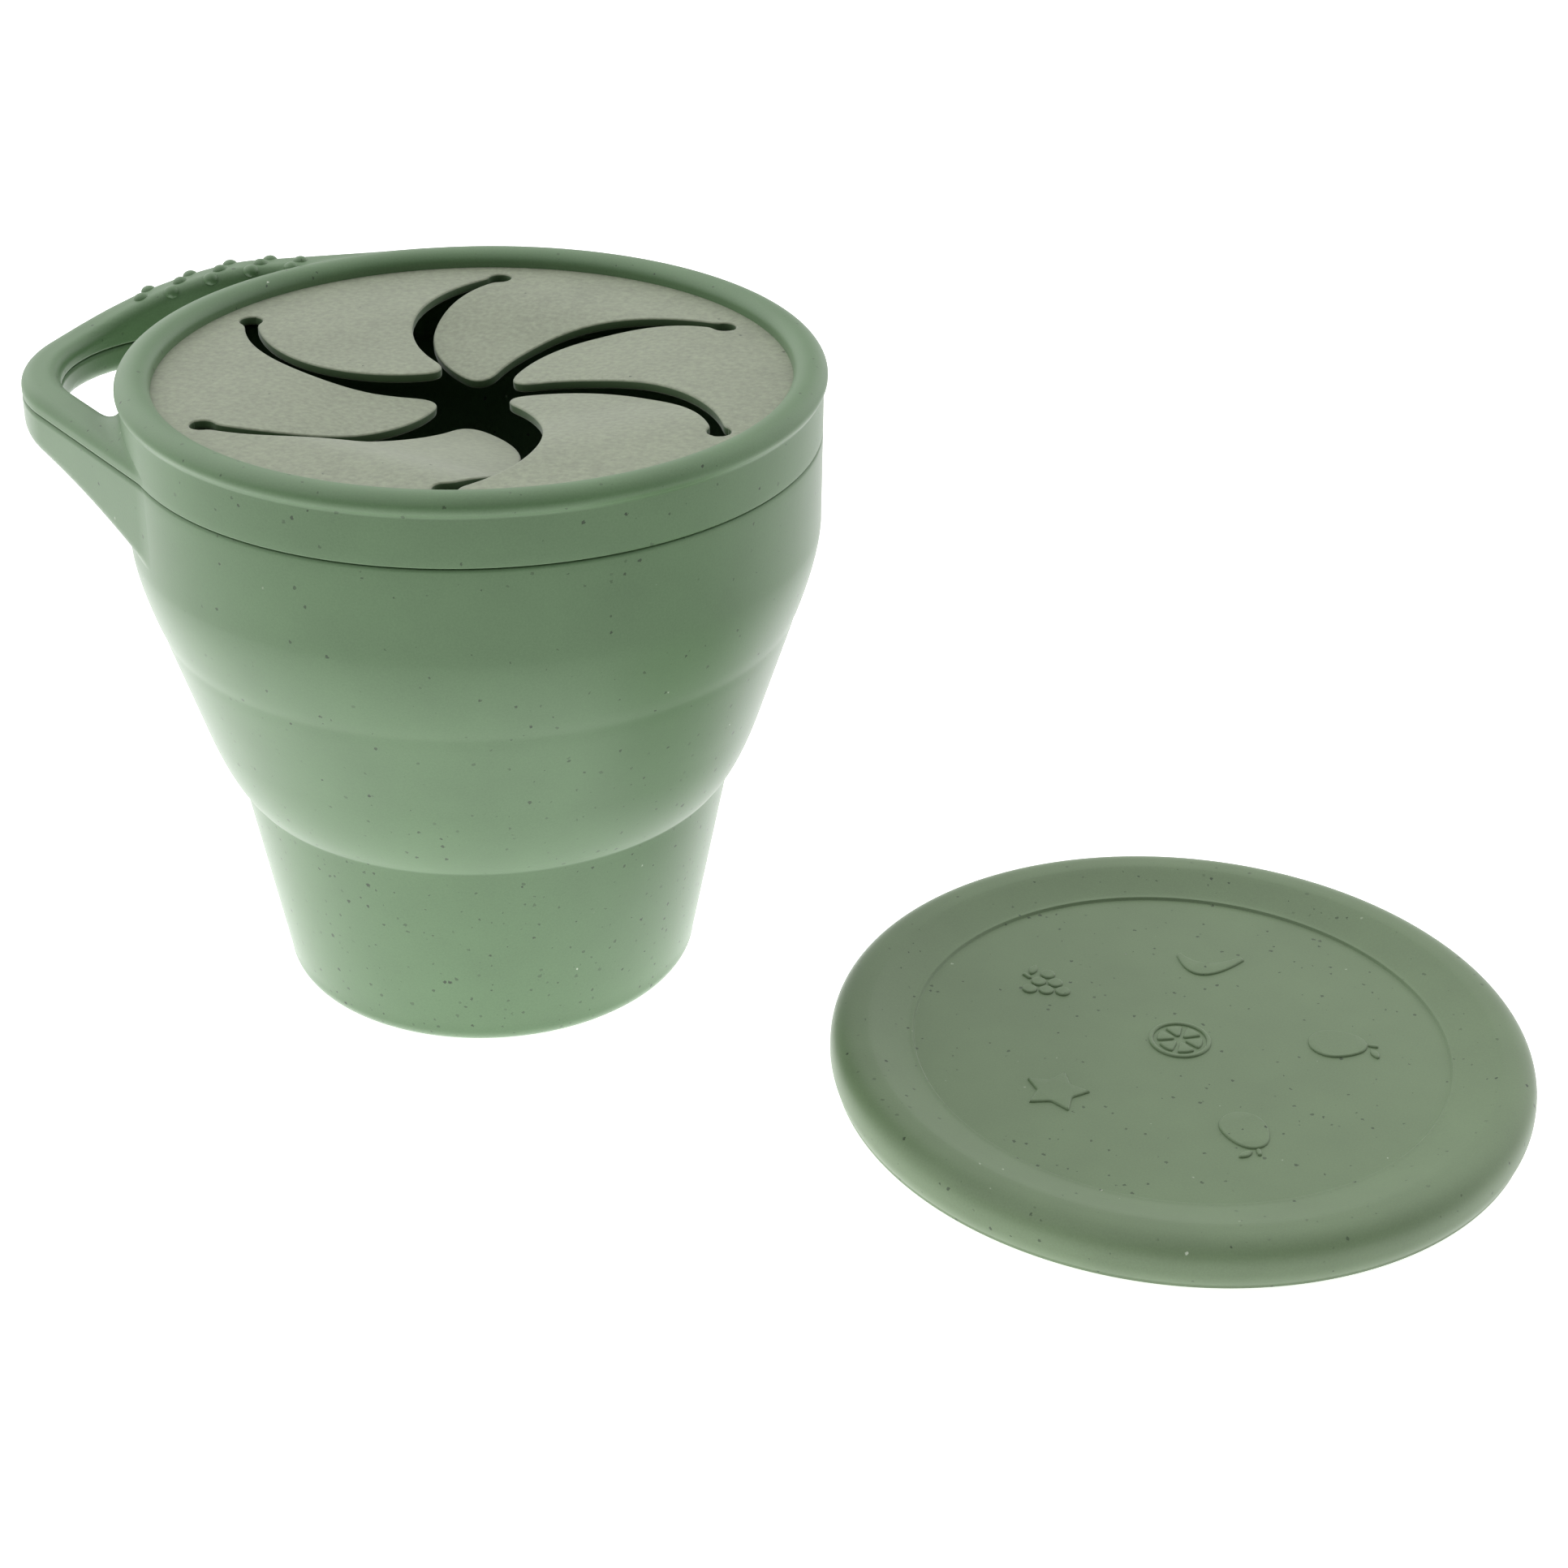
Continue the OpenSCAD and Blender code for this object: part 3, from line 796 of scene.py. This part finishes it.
NET_STEP = 0.55
NET_HALF_Y = 46.2
seam_zs = np.concatenate([np.arange(-0.3, 0.7, 0.09), np.arange(0.75, 1.6, 0.25)])
net_xs = np.arange(-HANDLE_REACH - 1.2, -10, NET_STEP)
net_ys = np.arange(-NET_HALF_Y, NET_HALF_Y + 0.1, NET_STEP)
upper_zs = SEAM_Z + np.concatenate([seam_zs, np.arange(1.9, HIGH_ARM_H + 1.6, 0.5)])
lower_zs = SEAM_Z - np.concatenate([seam_zs, np.arange(1.9, ROOT_DEPTH + 5.5, 0.5)])[::-1]
for name, node, body, side, heights in (
    ("loop_upper", "handle_upper", "lid", 1, upper_zs),
    ("loop_lower", "handle_lower", "upper", -1, lower_zs),
):
    points, faces = net_over(lambda p: moulded_half(p, side), net_xs, net_ys, heights)
    half = solid(name, points, faces)
    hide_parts(node)
    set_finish(half, "lid_silicone" if side > 0 else "cup_silicone")
    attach(half, body)


# %% [markdown]
# Three staggered rows of small domes give fingers a grip on the high arm. Each is a
# ball sunk into the band, and one mesh holds them all.

# %% Grip dots
DOT_R = 1.12
DOT_FLAT = 0.8
DOT_SUNK = 0.35
DOT_PITCH = 5.6
DOT_ROW = 1.75
DOT_SLANT = 1.5
DOT_COUNT = 5
FIRST_DOT = 14.1
balls = bmesh.new()
for row in (-1, 0, 1):
    for i in range(DOT_COUNT)[row < 0:DOT_COUNT - (row > 0)]:
        along = FIRST_DOT + i * DOT_PITCH + row * DOT_SLANT
        across = row * DOT_ROW
        past_flat = max(abs(across) - BAND_HALF + BAND_TOP_ROUND, 0)
        crown = BAND_TOP_ROUND - math.sqrt(BAND_TOP_ROUND**2 - past_flat**2)
        height = SEAM_Z + float(band_top(along)) - crown - DOT_SUNK
        place = Vector((*band_place(along, across), height)) * MM
        flat = Matrix.Diagonal((1, 1, DOT_FLAT, 1))
        bmesh.ops.create_icosphere(
            balls, subdivisions=3, radius=DOT_R * MM, matrix=Matrix.Translation(place) @ flat
        )
dot_mesh = bpy.data.meshes.new("grip_dots")
balls.to_mesh(dot_mesh)
balls.free()
dot_mesh.shade_smooth()
dots = placed_object("grip_dots", dot_mesh)
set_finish(dots, "lid_silicone")
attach(dots, "lid")
print("grip dots:", len(dot_mesh.vertices), "points")


# %% [markdown]
# The dust cover is a shallow cap, lathed like the cup. Its edge is round below and
# squarer above, a fine step leads down to its middle, and a thin parting line runs
# round its side.

# %% Dust cover
COVER_C = (COVER_LOW + COVER_HIGH) / 2
COVER_R = COVER_HIGH[0] - COVER_C[0]
COVER_H = COVER_HIGH[2]
COVER_FLAT_H = 5.9
DISC_R = 35
DISC_DROP = 0.4
COVER_T = 1.4
LIP_T = 2.4
CATCH = 2.2
PARTING_H = 1.5
PARTING_OUT = 0.22
PARTING_HALF = 0.3
EDGE_SQUARE = 2.7

cover_round = COVER_H / 2
edge_c = np.array([COVER_R - cover_round, cover_round])
disc_z = COVER_FLAT_H - DISC_DROP
in_r = COVER_R - LIP_T
edge_way = arc_points((0, 0), 1, -90, 104, 90)
square = np.where(edge_way[:, 1] > 0, EDGE_SQUARE, 2)[:, None]
squared = np.sign(edge_way) * np.abs(edge_way) ** (2 / square)
edge_arc = edge_c + cover_round * squared
from_parting = np.abs(edge_arc[:, 1] - PARTING_H)
ridge = PARTING_OUT * np.clip(1 - from_parting / PARTING_HALF, 0, 1)
edge_arc += edge_way * ridge[:, None]
border_end = (DISC_R + 0.6, COVER_FLAT_H)
cover_border = bent(edge_arc[-1], (DISC_R + 1.2, COVER_FLAT_H), border_end)
plate_step = eased_corners([
    (*border_end, 0),
    (DISC_R + 0.25, COVER_FLAT_H, 0.12),
    (DISC_R, disc_z, 0.12),
    (DISC_R - 0.5, disc_z, 0),
    (0, disc_z, 0),
], 3)
underside = eased_corners([
    (0, disc_z - COVER_T, 0),
    (in_r, disc_z - COVER_T, 1.2),
    (in_r, CATCH, 0.5),
    (in_r - CATCH, 1.1, 0.4),
    (in_r - CATCH, 0, 0.4),
    (*edge_arc[0], 0),
])
cover = turned_solid(
    "dust_cover_cap",
    np.vstack([underside, edge_arc[1:], cover_border[1:], plate_step[1:]]),
    centre=COVER_C[:2],
)
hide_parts("dust_cover")
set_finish(cover, "cover_silicone")
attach(cover, "cover")


# %% [markdown]
# Plain fruit shapes stand up from the disc by a third of a millimetre. They could be
# drawn with bumps, but a mould cuts them with steep sides, which catch the light as
# fine lines. So each shape is a list of parts, drawn as outlines about one unit wide.

# %% Fruit outlines
def round_outline(centre, radius):
    return arc_points(centre, radius, 0, 350, 36)


def pear_outline():
    """The outline of two circles melted together, found along rays from the middle."""
    angle = np.linspace(0, 2 * math.pi, 120, endpoint=False)
    ray = np.column_stack([np.cos(angle), np.sin(angle)])
    near_r, far_r = np.zeros(120), np.ones(120)
    for _ in range(20):
        radius = (near_r + far_r) / 2
        place = ray * radius[:, None]
        belly = np.linalg.norm(place - [0, -0.12], axis=1) - 0.34
        neck = np.linalg.norm(place - [0, 0.2], axis=1) - 0.19
        inside = melted(belly, neck, 0.3) < 0
        near_r, far_r = np.where(inside, radius, near_r), np.where(inside, far_r, radius)
    return ray * far_r[:, None]


def leaf_outline(foot, tip, width):
    foot, tip = np.array(foot), np.array(tip)
    aside = np.array([foot[1] - tip[1], tip[0] - foot[0]]) * width
    middle = (foot + tip) / 2
    there, back = bent(foot, middle - aside, tip, 10), bent(tip, middle + aside, foot, 10)
    return np.vstack([there, back[1:-1]])


def bar_outline(start, end, width):
    start, end = np.array(start), np.array(end)
    aside = left_of([end - start])[0] * width / 2
    return np.array([start - aside, end - aside, end + aside, start + aside])


star_r = np.where(np.arange(10) % 2, 0.27, 0.5)[:, None]
star = arc_points((0, 0), star_r, 90, 414, 9)
banana = np.vstack([
    bent((-0.56, -0.1), (-0.1, -1.05), (0.46, 0.12), 24),
    bent((0.38, 0.18), (-0.08, -0.42), (-0.52, -0.02), 24),
])
wedge = np.vstack([arc_points((0, 0), 0.335, -24, 24, 10), [(0.08, 0.025), (0.08, -0.025)]])
berries = [((i - row / 2) * 0.25, row * 0.215 - 0.3) for row in range(3) for i in range(row + 1)]
FRUIT = {
    "pear": [
        [pear_outline()],
        [bar_outline((0.01, 0.41), (0.05, 0.56), 0.07)],
        [leaf_outline((0.1, 0.44), (0.36, 0.52), 0.45)],
    ],
    "banana": [[banana]],
    "grapes": [[round_outline(berry, 0.117)] for berry in berries] + [
        [bar_outline((0, 0.27), (0.04, 0.44), 0.07)],
        [leaf_outline((0.08, 0.33), (0.36, 0.42), 0.45)],
    ],
    "star": [[star]],
    "orange": [[round_outline((0, 0), 0.46), round_outline((0, 0), 0.39)[::-1]]] + [
        [turned(wedge, 60 * number)] for number in range(6)
    ],
}
print("parts of each fruit:", {name: len(parts) for name, parts in FRUIT.items()})


# %% [markdown]
# The outlines are brought to size, softened at their corners and made into thin plates
# with round edges, one fruit in the middle of the disc and five in a ring.

# %% Fruit relief
MOTIF_SIZE = 9
MOTIF_H = 0.3
MOTIF_SUNK = 0.4
MOTIF_EDGE = 0.28
MOTIF_STEP = 0.22
MOTIF_RING_R = 21
MOTIF_HEADING = 18


def softened(outline):
    """A closed outline in millimetres with eased corners, and its steps inward."""
    closed = np.vstack([outline, outline[:1]]) * MOTIF_SIZE
    points = even(closed, MOTIF_STEP)[:-1]
    for _ in range(2):
        points += 0.5 * ((np.roll(points, 1, 0) + np.roll(points, -1, 0)) / 2 - points)
    return points, left_of(np.roll(points, -1, 0) - np.roll(points, 1, 0))


relief_vertices, relief_faces = [], []
placed = [("orange", -60, 0)]
for number, fruit in enumerate(("pear", "banana", "grapes", "star", "pear")):
    placed.append((fruit, MOTIF_HEADING + 72 * number, MOTIF_RING_R))
for fruit, heading, away in placed:
    quarter_turn = -90 if away else 0
    for outlines in FRUIT[fruit]:
        vertices, faces = plate(
            [softened(outline) for outline in outlines],
            disc_z - MOTIF_SUNK, disc_z + MOTIF_H, rounding=MOTIF_EDGE,
        )
        vertices[:, :2] = turned(vertices[:, :2], quarter_turn) + [away, 0]
        vertices[:, :2] = turned(vertices[:, :2], heading) + COVER_C[:2]
        first = sum(len(part) for part in relief_vertices)
        relief_vertices.append(vertices)
        relief_faces += [[corner + first for corner in face] for face in faces]
relief = crisp(solid("fruit_relief", np.vstack(relief_vertices), relief_faces))
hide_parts("cover_motifs")
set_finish(relief, "cover_silicone")
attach(relief, "cover")


# %% [markdown]
# The camera stands in front of the cup, a little to its right, and looks down on it.
# It is placed by a turn, a tilt and a roll round a point between cup and cover. The
# lens shift only moves the picture's frame downwards.

# %% Camera
PICTURE = 1932
FOCUS_PX = 3597.69
RISE_PX = 236.68
TURN, TILT = 19.30, 25.59
ROLL = math.radians(0.84)
AIM = Vector((43.08, 0, 61.31))
AWAY = 377.7


def way_to(turn, rise):
    """The way to a place, by its turn from the front towards +X and its rise, in degrees."""
    turn, rise = math.radians(turn), math.radians(rise)
    flat = math.cos(rise)
    return Vector((math.sin(turn) * flat, -math.cos(turn) * flat, math.sin(rise)))


back = way_to(TURN, TILT)
level = Vector((0, 0, 1)).cross(back).normalized()
upright = back.cross(level)
rightward = math.cos(ROLL) * level + math.sin(ROLL) * upright
upward = -math.sin(ROLL) * level + math.cos(ROLL) * upright
lens = bpy.data.cameras.new("camera")
lens.sensor_width = 36
lens.lens = FOCUS_PX * lens.sensor_width / PICTURE
lens.shift_y = -RISE_PX / PICTURE
lens.clip_start, lens.clip_end = 0.01, 20
camera = placed_object("camera", lens)
camera_turn = Matrix((rightward, upward, back)).transposed().to_4x4()
camera.matrix_world = Matrix.Translation((AIM + back * AWAY) * MM) @ camera_turn
bpy.context.scene.camera = camera
print("camera at, mm:", [round(v / MM) for v in camera.matrix_world.translation])


# %% [markdown]
# A finish is a tree of nodes. The helpers below keep it short to write: one adds a
# shader node, fills it and joins it to the nodes before it, and the others add the
# kinds that are needed most.

# %% Node helpers
def empty_tree(owner):
    """The node tree of a material or a world, with nothing in it."""
    owner.use_nodes = True
    owner.node_tree.nodes.clear()
    return owner.node_tree


def add(tree, kind, settings=None, **sockets):
    """A new node, with its sockets by name, or by number as _0, _1 and so on."""
    made = tree.nodes.new("ShaderNode" + kind)
    for name, value in (settings or {}).items():
        setattr(made, name, value)
    for name, value in sockets.items():
        key = int(name[1:]) if name[0] == "_" else name.replace("_", " ")
        if isinstance(value, bpy.types.NodeSocket):
            tree.links.new(value, made.inputs[key])
        else:
            made.inputs[key].default_value = value
    return made


def maths(tree, operation, *values, clamp=False):
    settings = {"operation": operation, "use_clamp": clamp}
    sockets = {f"_{i}": value for i, value in enumerate(values)}
    return add(tree, "Math", settings, **sockets).outputs[0]


def vector_maths(tree, operation, out=0, **sockets):
    return add(tree, "VectorMath", {"operation": operation}, **sockets).outputs[out]


def blended(tree, share, low, high):
    return add(tree, "Mix", {"data_type": "RGBA"}, _0=share, _6=low, _7=high).outputs[2]


def eased_range(tree, value, start, end, low=0.0, high=1.0):
    """Goes smoothly from low to high while value goes from start to end."""
    return add(
        tree, "MapRange", {"interpolation_type": "SMOOTHSTEP"}, Value=value,
        From_Min=start, From_Max=end, To_Min=low, To_Max=high,
    ).outputs[0]


# %% [markdown]
# The silicone has ground straw mixed into it: sparse dark flecks of a few tenths of a
# millimetre, more of them low on the cup, and a few pale ones. Every moulding holds the
# mix, so it is one node group, placed in each finish with its own values.

# %% Flecked silicone group
group = bpy.data.node_groups.new("flecked silicone", "ShaderNodeTree")
for name, value in (
    ("Silicone", (0.12, 0.2, 0.1, 1)),
    ("Fleck", (0.03, 0.05, 0.025, 1)),
    ("Pale Fleck", (0.5, 0.56, 0.45, 1)),
    ("Fleck Share", 0.2),
    ("More Low Down", 0.0),
    ("Pale Share", 0.1),
    ("Clouding", 0.06),
    ("Grain", 0.04),
    ("Grain Per mm", 4.0),
    ("Roughness", 0.5),
):
    kind = "NodeSocketFloat" if isinstance(value, float) else "NodeSocketColor"
    group.interface.new_socket(name=name, in_out="INPUT", socket_type=kind).default_value = value
for name, kind in (("Colour", "Color"), ("Roughness", "Float"), ("Height", "Float")):
    group.interface.new_socket(name=name, in_out="OUTPUT", socket_type="NodeSocket" + kind)
given = group.nodes.new("NodeGroupInput").outputs
put = group.nodes.new("NodeGroupOutput").inputs
print("group values:", [socket.name for socket in given if socket.name])


# %% [markdown]
# Flecks are points in space that only show where the skin cuts one. A cell pattern
# gives one point to each cell, and a random number of the cell says whether it holds a
# fleck and how big that is. A noise pulls the pattern about, which leaves them ragged.

# %% Flecks
WOBBLE_PER_MM = 3.2
WOBBLE_MM = 0.5
FLECK_SOFT_MM = 0.08
FEWER_FROM_Z = 62.0
place = add(group, "TexCoord").outputs["Object"]
mm = vector_maths(group, "SCALE", _0=place, Scale=1 / MM)
wobble = add(group, "TexNoise", Vector=mm, Scale=WOBBLE_PER_MM, Detail=2.0)
wobble = vector_maths(group, "SCALE", _0=wobble.outputs["Color"], Scale=WOBBLE_MM)
ragged = vector_maths(group, "ADD", _0=mm, _1=wobble)
height = add(group, "SeparateXYZ", Vector=mm).outputs["Z"]
low_down = maths(group, "DIVIDE", height, FEWER_FROM_Z)
low_down = maths(group, "SUBTRACT", 1.0, low_down, clamp=True)
dark_share = maths(group, "MULTIPLY_ADD", low_down, given["More Low Down"], given["Fleck Share"])


def flecks(share, cells_per_mm, small, large):
    """How strongly flecks show, where a share of the cells holds one. Sizes are radii, in mm."""
    cells = add(group, "TexVoronoi", Vector=ragged, Scale=cells_per_mm).outputs
    chance = add(group, "SeparateColor", Color=cells["Color"]).outputs
    holds = maths(group, "LESS_THAN", chance["Red"], share)
    size = maths(group, "MULTIPLY_ADD", chance["Green"], large - small, small)
    size = maths(group, "MULTIPLY", size, cells_per_mm)
    depth = maths(group, "SUBTRACT", size, cells["Distance"])
    edge = maths(group, "DIVIDE", depth, FLECK_SOFT_MM * cells_per_mm, clamp=True)
    strength = maths(group, "MULTIPLY_ADD", chance["Blue"], 0.7, 0.3)
    return maths(group, "MULTIPLY", maths(group, "MULTIPLY", edge, holds), strength)


dark = flecks(dark_share, cells_per_mm=0.8, small=0.07, large=0.32)
pale = flecks(given["Pale Share"], cells_per_mm=0.41, small=0.1, large=0.24)
print("nodes for the flecks:", len(group.nodes))


# %% [markdown]
# A fine noise is the grain that a blasted mould leaves. It changes colour, roughness
# and height together, as real grain does. A wide noise clouds the colour a little,
# because the mix is never quite even.

# %% Grain and tone
CLOUDS_PER_MM = 0.09
CLOUD_GAIN = 4.0
GRAIN_GAIN = 8.0
ROUGH_SPREAD = 0.16
FLECK_DENT = 0.8
cloud = add(group, "TexNoise", Vector=mm, Scale=CLOUDS_PER_MM, Detail=3.0)
grain = add(group, "TexNoise", Vector=mm, Scale=given["Grain Per mm"], Detail=3.0)
cloud, grain = cloud.outputs["Fac"], grain.outputs["Fac"]
cloudy = maths(group, "MULTIPLY", maths(group, "SUBTRACT", cloud, 0.5), given["Clouding"])
speckle = maths(group, "MULTIPLY", maths(group, "SUBTRACT", grain, 0.5), given["Grain"])
tone = maths(group, "MULTIPLY_ADD", cloudy, CLOUD_GAIN, 1.0)
tone = maths(group, "ADD", tone, maths(group, "MULTIPLY", speckle, GRAIN_GAIN))
tint = vector_maths(group, "SCALE", _0=given["Silicone"], Scale=tone)
colour = blended(group, dark, tint, given["Fleck"])
colour = blended(group, pale, colour, given["Pale Fleck"])
rough = maths(group, "ADD", given["Roughness"], -ROUGH_SPREAD / 2)
rough = maths(group, "MULTIPLY_ADD", grain, ROUGH_SPREAD, rough)
raised = maths(group, "SUBTRACT", grain, maths(group, "MULTIPLY", dark, FLECK_DENT))
for name, value in (("Colour", colour), ("Roughness", rough), ("Height", raised)):
    group.links.new(value, put[name])
print("nodes in the whole group:", len(group.nodes))


# %% [markdown]
# A finish is the group, a bump from its height and one Principled shader, whose sheen
# lightens the skin where it turns away from the eye. A finish can have a cut colour
# for faces that stand upright, the slits' walls, which get a darker green, while level
# faces keep the paler, greyer colour, a painted reflection of the light from above.

# %% Silicone finish
GRAIN_DEEP = 0.05
SHEEN_ROUGH = 0.35
UPRIGHT, LEVEL = 0.2, 0.55


def silicone(name, sheen, bump=0.2, ior=1.45, cut=None, **values):
    """A flecked silicone finish. Values go to the group's sockets by name."""
    made = bpy.data.materials.new(name)
    tree = empty_tree(made)
    look = add(tree, "Group", {"node_tree": group}, **values).outputs
    dents = add(tree, "Bump", Strength=bump, Distance=GRAIN_DEEP * MM, Height=look["Height"])
    colour = look["Colour"]
    if cut:
        way = add(tree, "TexCoord").outputs["Normal"]
        way_up = add(tree, "SeparateXYZ", Vector=way).outputs["Z"]
        # flat is the share of the painted reflection: 1 on level faces, 0 on upright ones.
        flat = eased_range(tree, maths(tree, "ABSOLUTE", way_up), UPRIGHT, LEVEL)
        colour = blended(tree, flat, cut, colour)
    shader = add(
        tree, "BsdfPrincipled", Base_Color=colour, Roughness=look["Roughness"],
        Normal=dents.outputs["Normal"], IOR=ior, Sheen_Weight=sheen, Sheen_Roughness=SHEEN_ROUGH,
    )
    add(tree, "OutputMaterial", Surface=shader.outputs[0])
    return made


# %% [markdown]
# The silicone is one colour, but not quite one finish. The cup has the most flecks. The
# lid's thin skin is finely blasted, and it is given a paler, greyer colour, a painted
# reflection of the light from above. The cover's colour is a little paler and greyer
# too, also painted reflection.

# %% Finishes
SAGE = (0.11, 0.195, 0.094, 1)
FINISHES = {
    "cup_silicone": silicone(
        "cup silicone", sheen=0.5,
        Silicone=SAGE, Fleck_Share=0.2, More_Low_Down=0.9, Pale_Share=0.12,
    ),
    "lid_silicone": silicone(
        "lid silicone", sheen=0.12,
        Silicone=SAGE, Fleck_Share=0.35, Pale_Share=0.06, Roughness=0.42,
    ),
    "membrane_silicone": silicone(
        "membrane silicone", sheen=0.45, bump=0.6, ior=1.5, cut=(0.06, 0.11, 0.045, 1),
        # Paler and greyer than the sage: painted reflection of the light from above.
        Silicone=(0.225, 0.255, 0.175, 1), Fleck_Share=0.03, Pale_Share=0.0,
        Grain=0.1, Grain_Per_mm=1.4, Roughness=0.6,
    ),
    "cover_silicone": silicone(
        "cover silicone", sheen=0.25,
        # A little paler and greyer than the sage: painted reflection of the light from above.
        Silicone=(0.14, 0.205, 0.11, 1), Fleck_Share=0.35, Pale_Share=0.2,
    ),
}
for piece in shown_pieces():
    slot = piece.get("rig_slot", "cover_silicone")
    piece.data.materials.clear()
    piece.data.materials.append(FINISHES[slot])
print("finishes:", [finish.name for finish in FINISHES.values()])


# %% [markdown]
# The object stands on a white table in a bright tent that is open towards the camera.
# Much of the light comes up from the table. Instead of lamps below it, the table itself
# glows in round patches that fade out smoothly, each with a centre and a reach in
# metres and a strength. The camera sees white paper with the object's soft shadow.

# %% Table
TABLE_HALF = 3000
TABLE_DROP = 0.05
GLOW_CORE = 0.04
TABLE_GLOWS = (
    ((0.1, 0, 0), 0.13, 0.28),
    ((-0.06, 0, 0), 0.3, 1.15),
    ((0.04, 0.2, 0), 0.35, 0.25),
    ((0.04, 0, 0), 1.5, 0.3),
)
corners = np.array([(-1, -1, 0), (1, -1, 0), (1, 1, 0), (-1, 1, 0)]) * TABLE_HALF * MM
table_mesh = bpy.data.meshes.new("table")
table_mesh.from_pydata(corners.tolist(), [], [(0, 1, 2, 3)])
table = placed_object("table", table_mesh)
table.location.z = -TABLE_DROP * MM
table_finish = bpy.data.materials.new("white table")
tree = empty_tree(table_finish)
place = add(tree, "TexCoord").outputs["Object"]
glow = 0.0
for centre, reach, power in TABLE_GLOWS:
    away = vector_maths(tree, "DISTANCE", out=1, _0=place, _1=centre)
    glow = maths(tree, "ADD", glow, eased_range(tree, away, GLOW_CORE, reach, power, 0.0))
ray = add(tree, "LightPath").outputs["Is Camera Ray"]
light = add(tree, "Emission", Color=blended(tree, ray, glow, (0.82, 0.82, 0.82, 1)))
paper = add(tree, "BsdfDiffuse", Color=(0.85, 0.85, 0.85, 1))
both = add(tree, "AddShader", _0=light.outputs[0], _1=paper.outputs[0])
add(tree, "OutputMaterial", Surface=both.outputs[0])
table_mesh.materials.append(table_finish)
print("glowing patches on the table:", len(TABLE_GLOWS))


# %% [markdown]
# The tent's cloth is the world's own light: soft round panels at the sides, behind and
# overhead, and none in front. So the front stays calm, and edges that turn away pick up
# the tent's white. A panel has a turn and a rise in degrees, and a strength. To the
# camera the tent is white all round.

# %% Tent
PANEL_FROM = 0.45
TENT_PANELS = (
    (139, 12, 1.5),
    (199, 25, 0.5),
    (259, 12, 1.0),
    (259, 48, 0.75),
    (319, 48, 0.45),
    (0, 88, 0.5),
)
tent = bpy.data.worlds.new("tent")
bpy.context.scene.world = tent
tree = empty_tree(tent)
way = add(tree, "TexCoord").outputs["Generated"]
way = vector_maths(tree, "NORMALIZE", _0=way)
strength = 0.0
for turn, rise, power in TENT_PANELS:
    facing = vector_maths(tree, "DOT_PRODUCT", out=1, _0=way, _1=way_to(turn, rise))
    strength = maths(tree, "ADD", strength, eased_range(tree, facing, PANEL_FROM, 1.0, 0.0, power))
ray = add(tree, "LightPath").outputs["Is Camera Ray"]
strength = maths(tree, "MAXIMUM", strength, ray)
white = add(tree, "Background", Color=(1, 1, 1, 1), Strength=strength)
add(tree, "OutputWorld", Surface=white.outputs[0])
bpy.context.scene.view_settings.view_transform = "Standard"
print("panels in the tent:", len(TENT_PANELS))
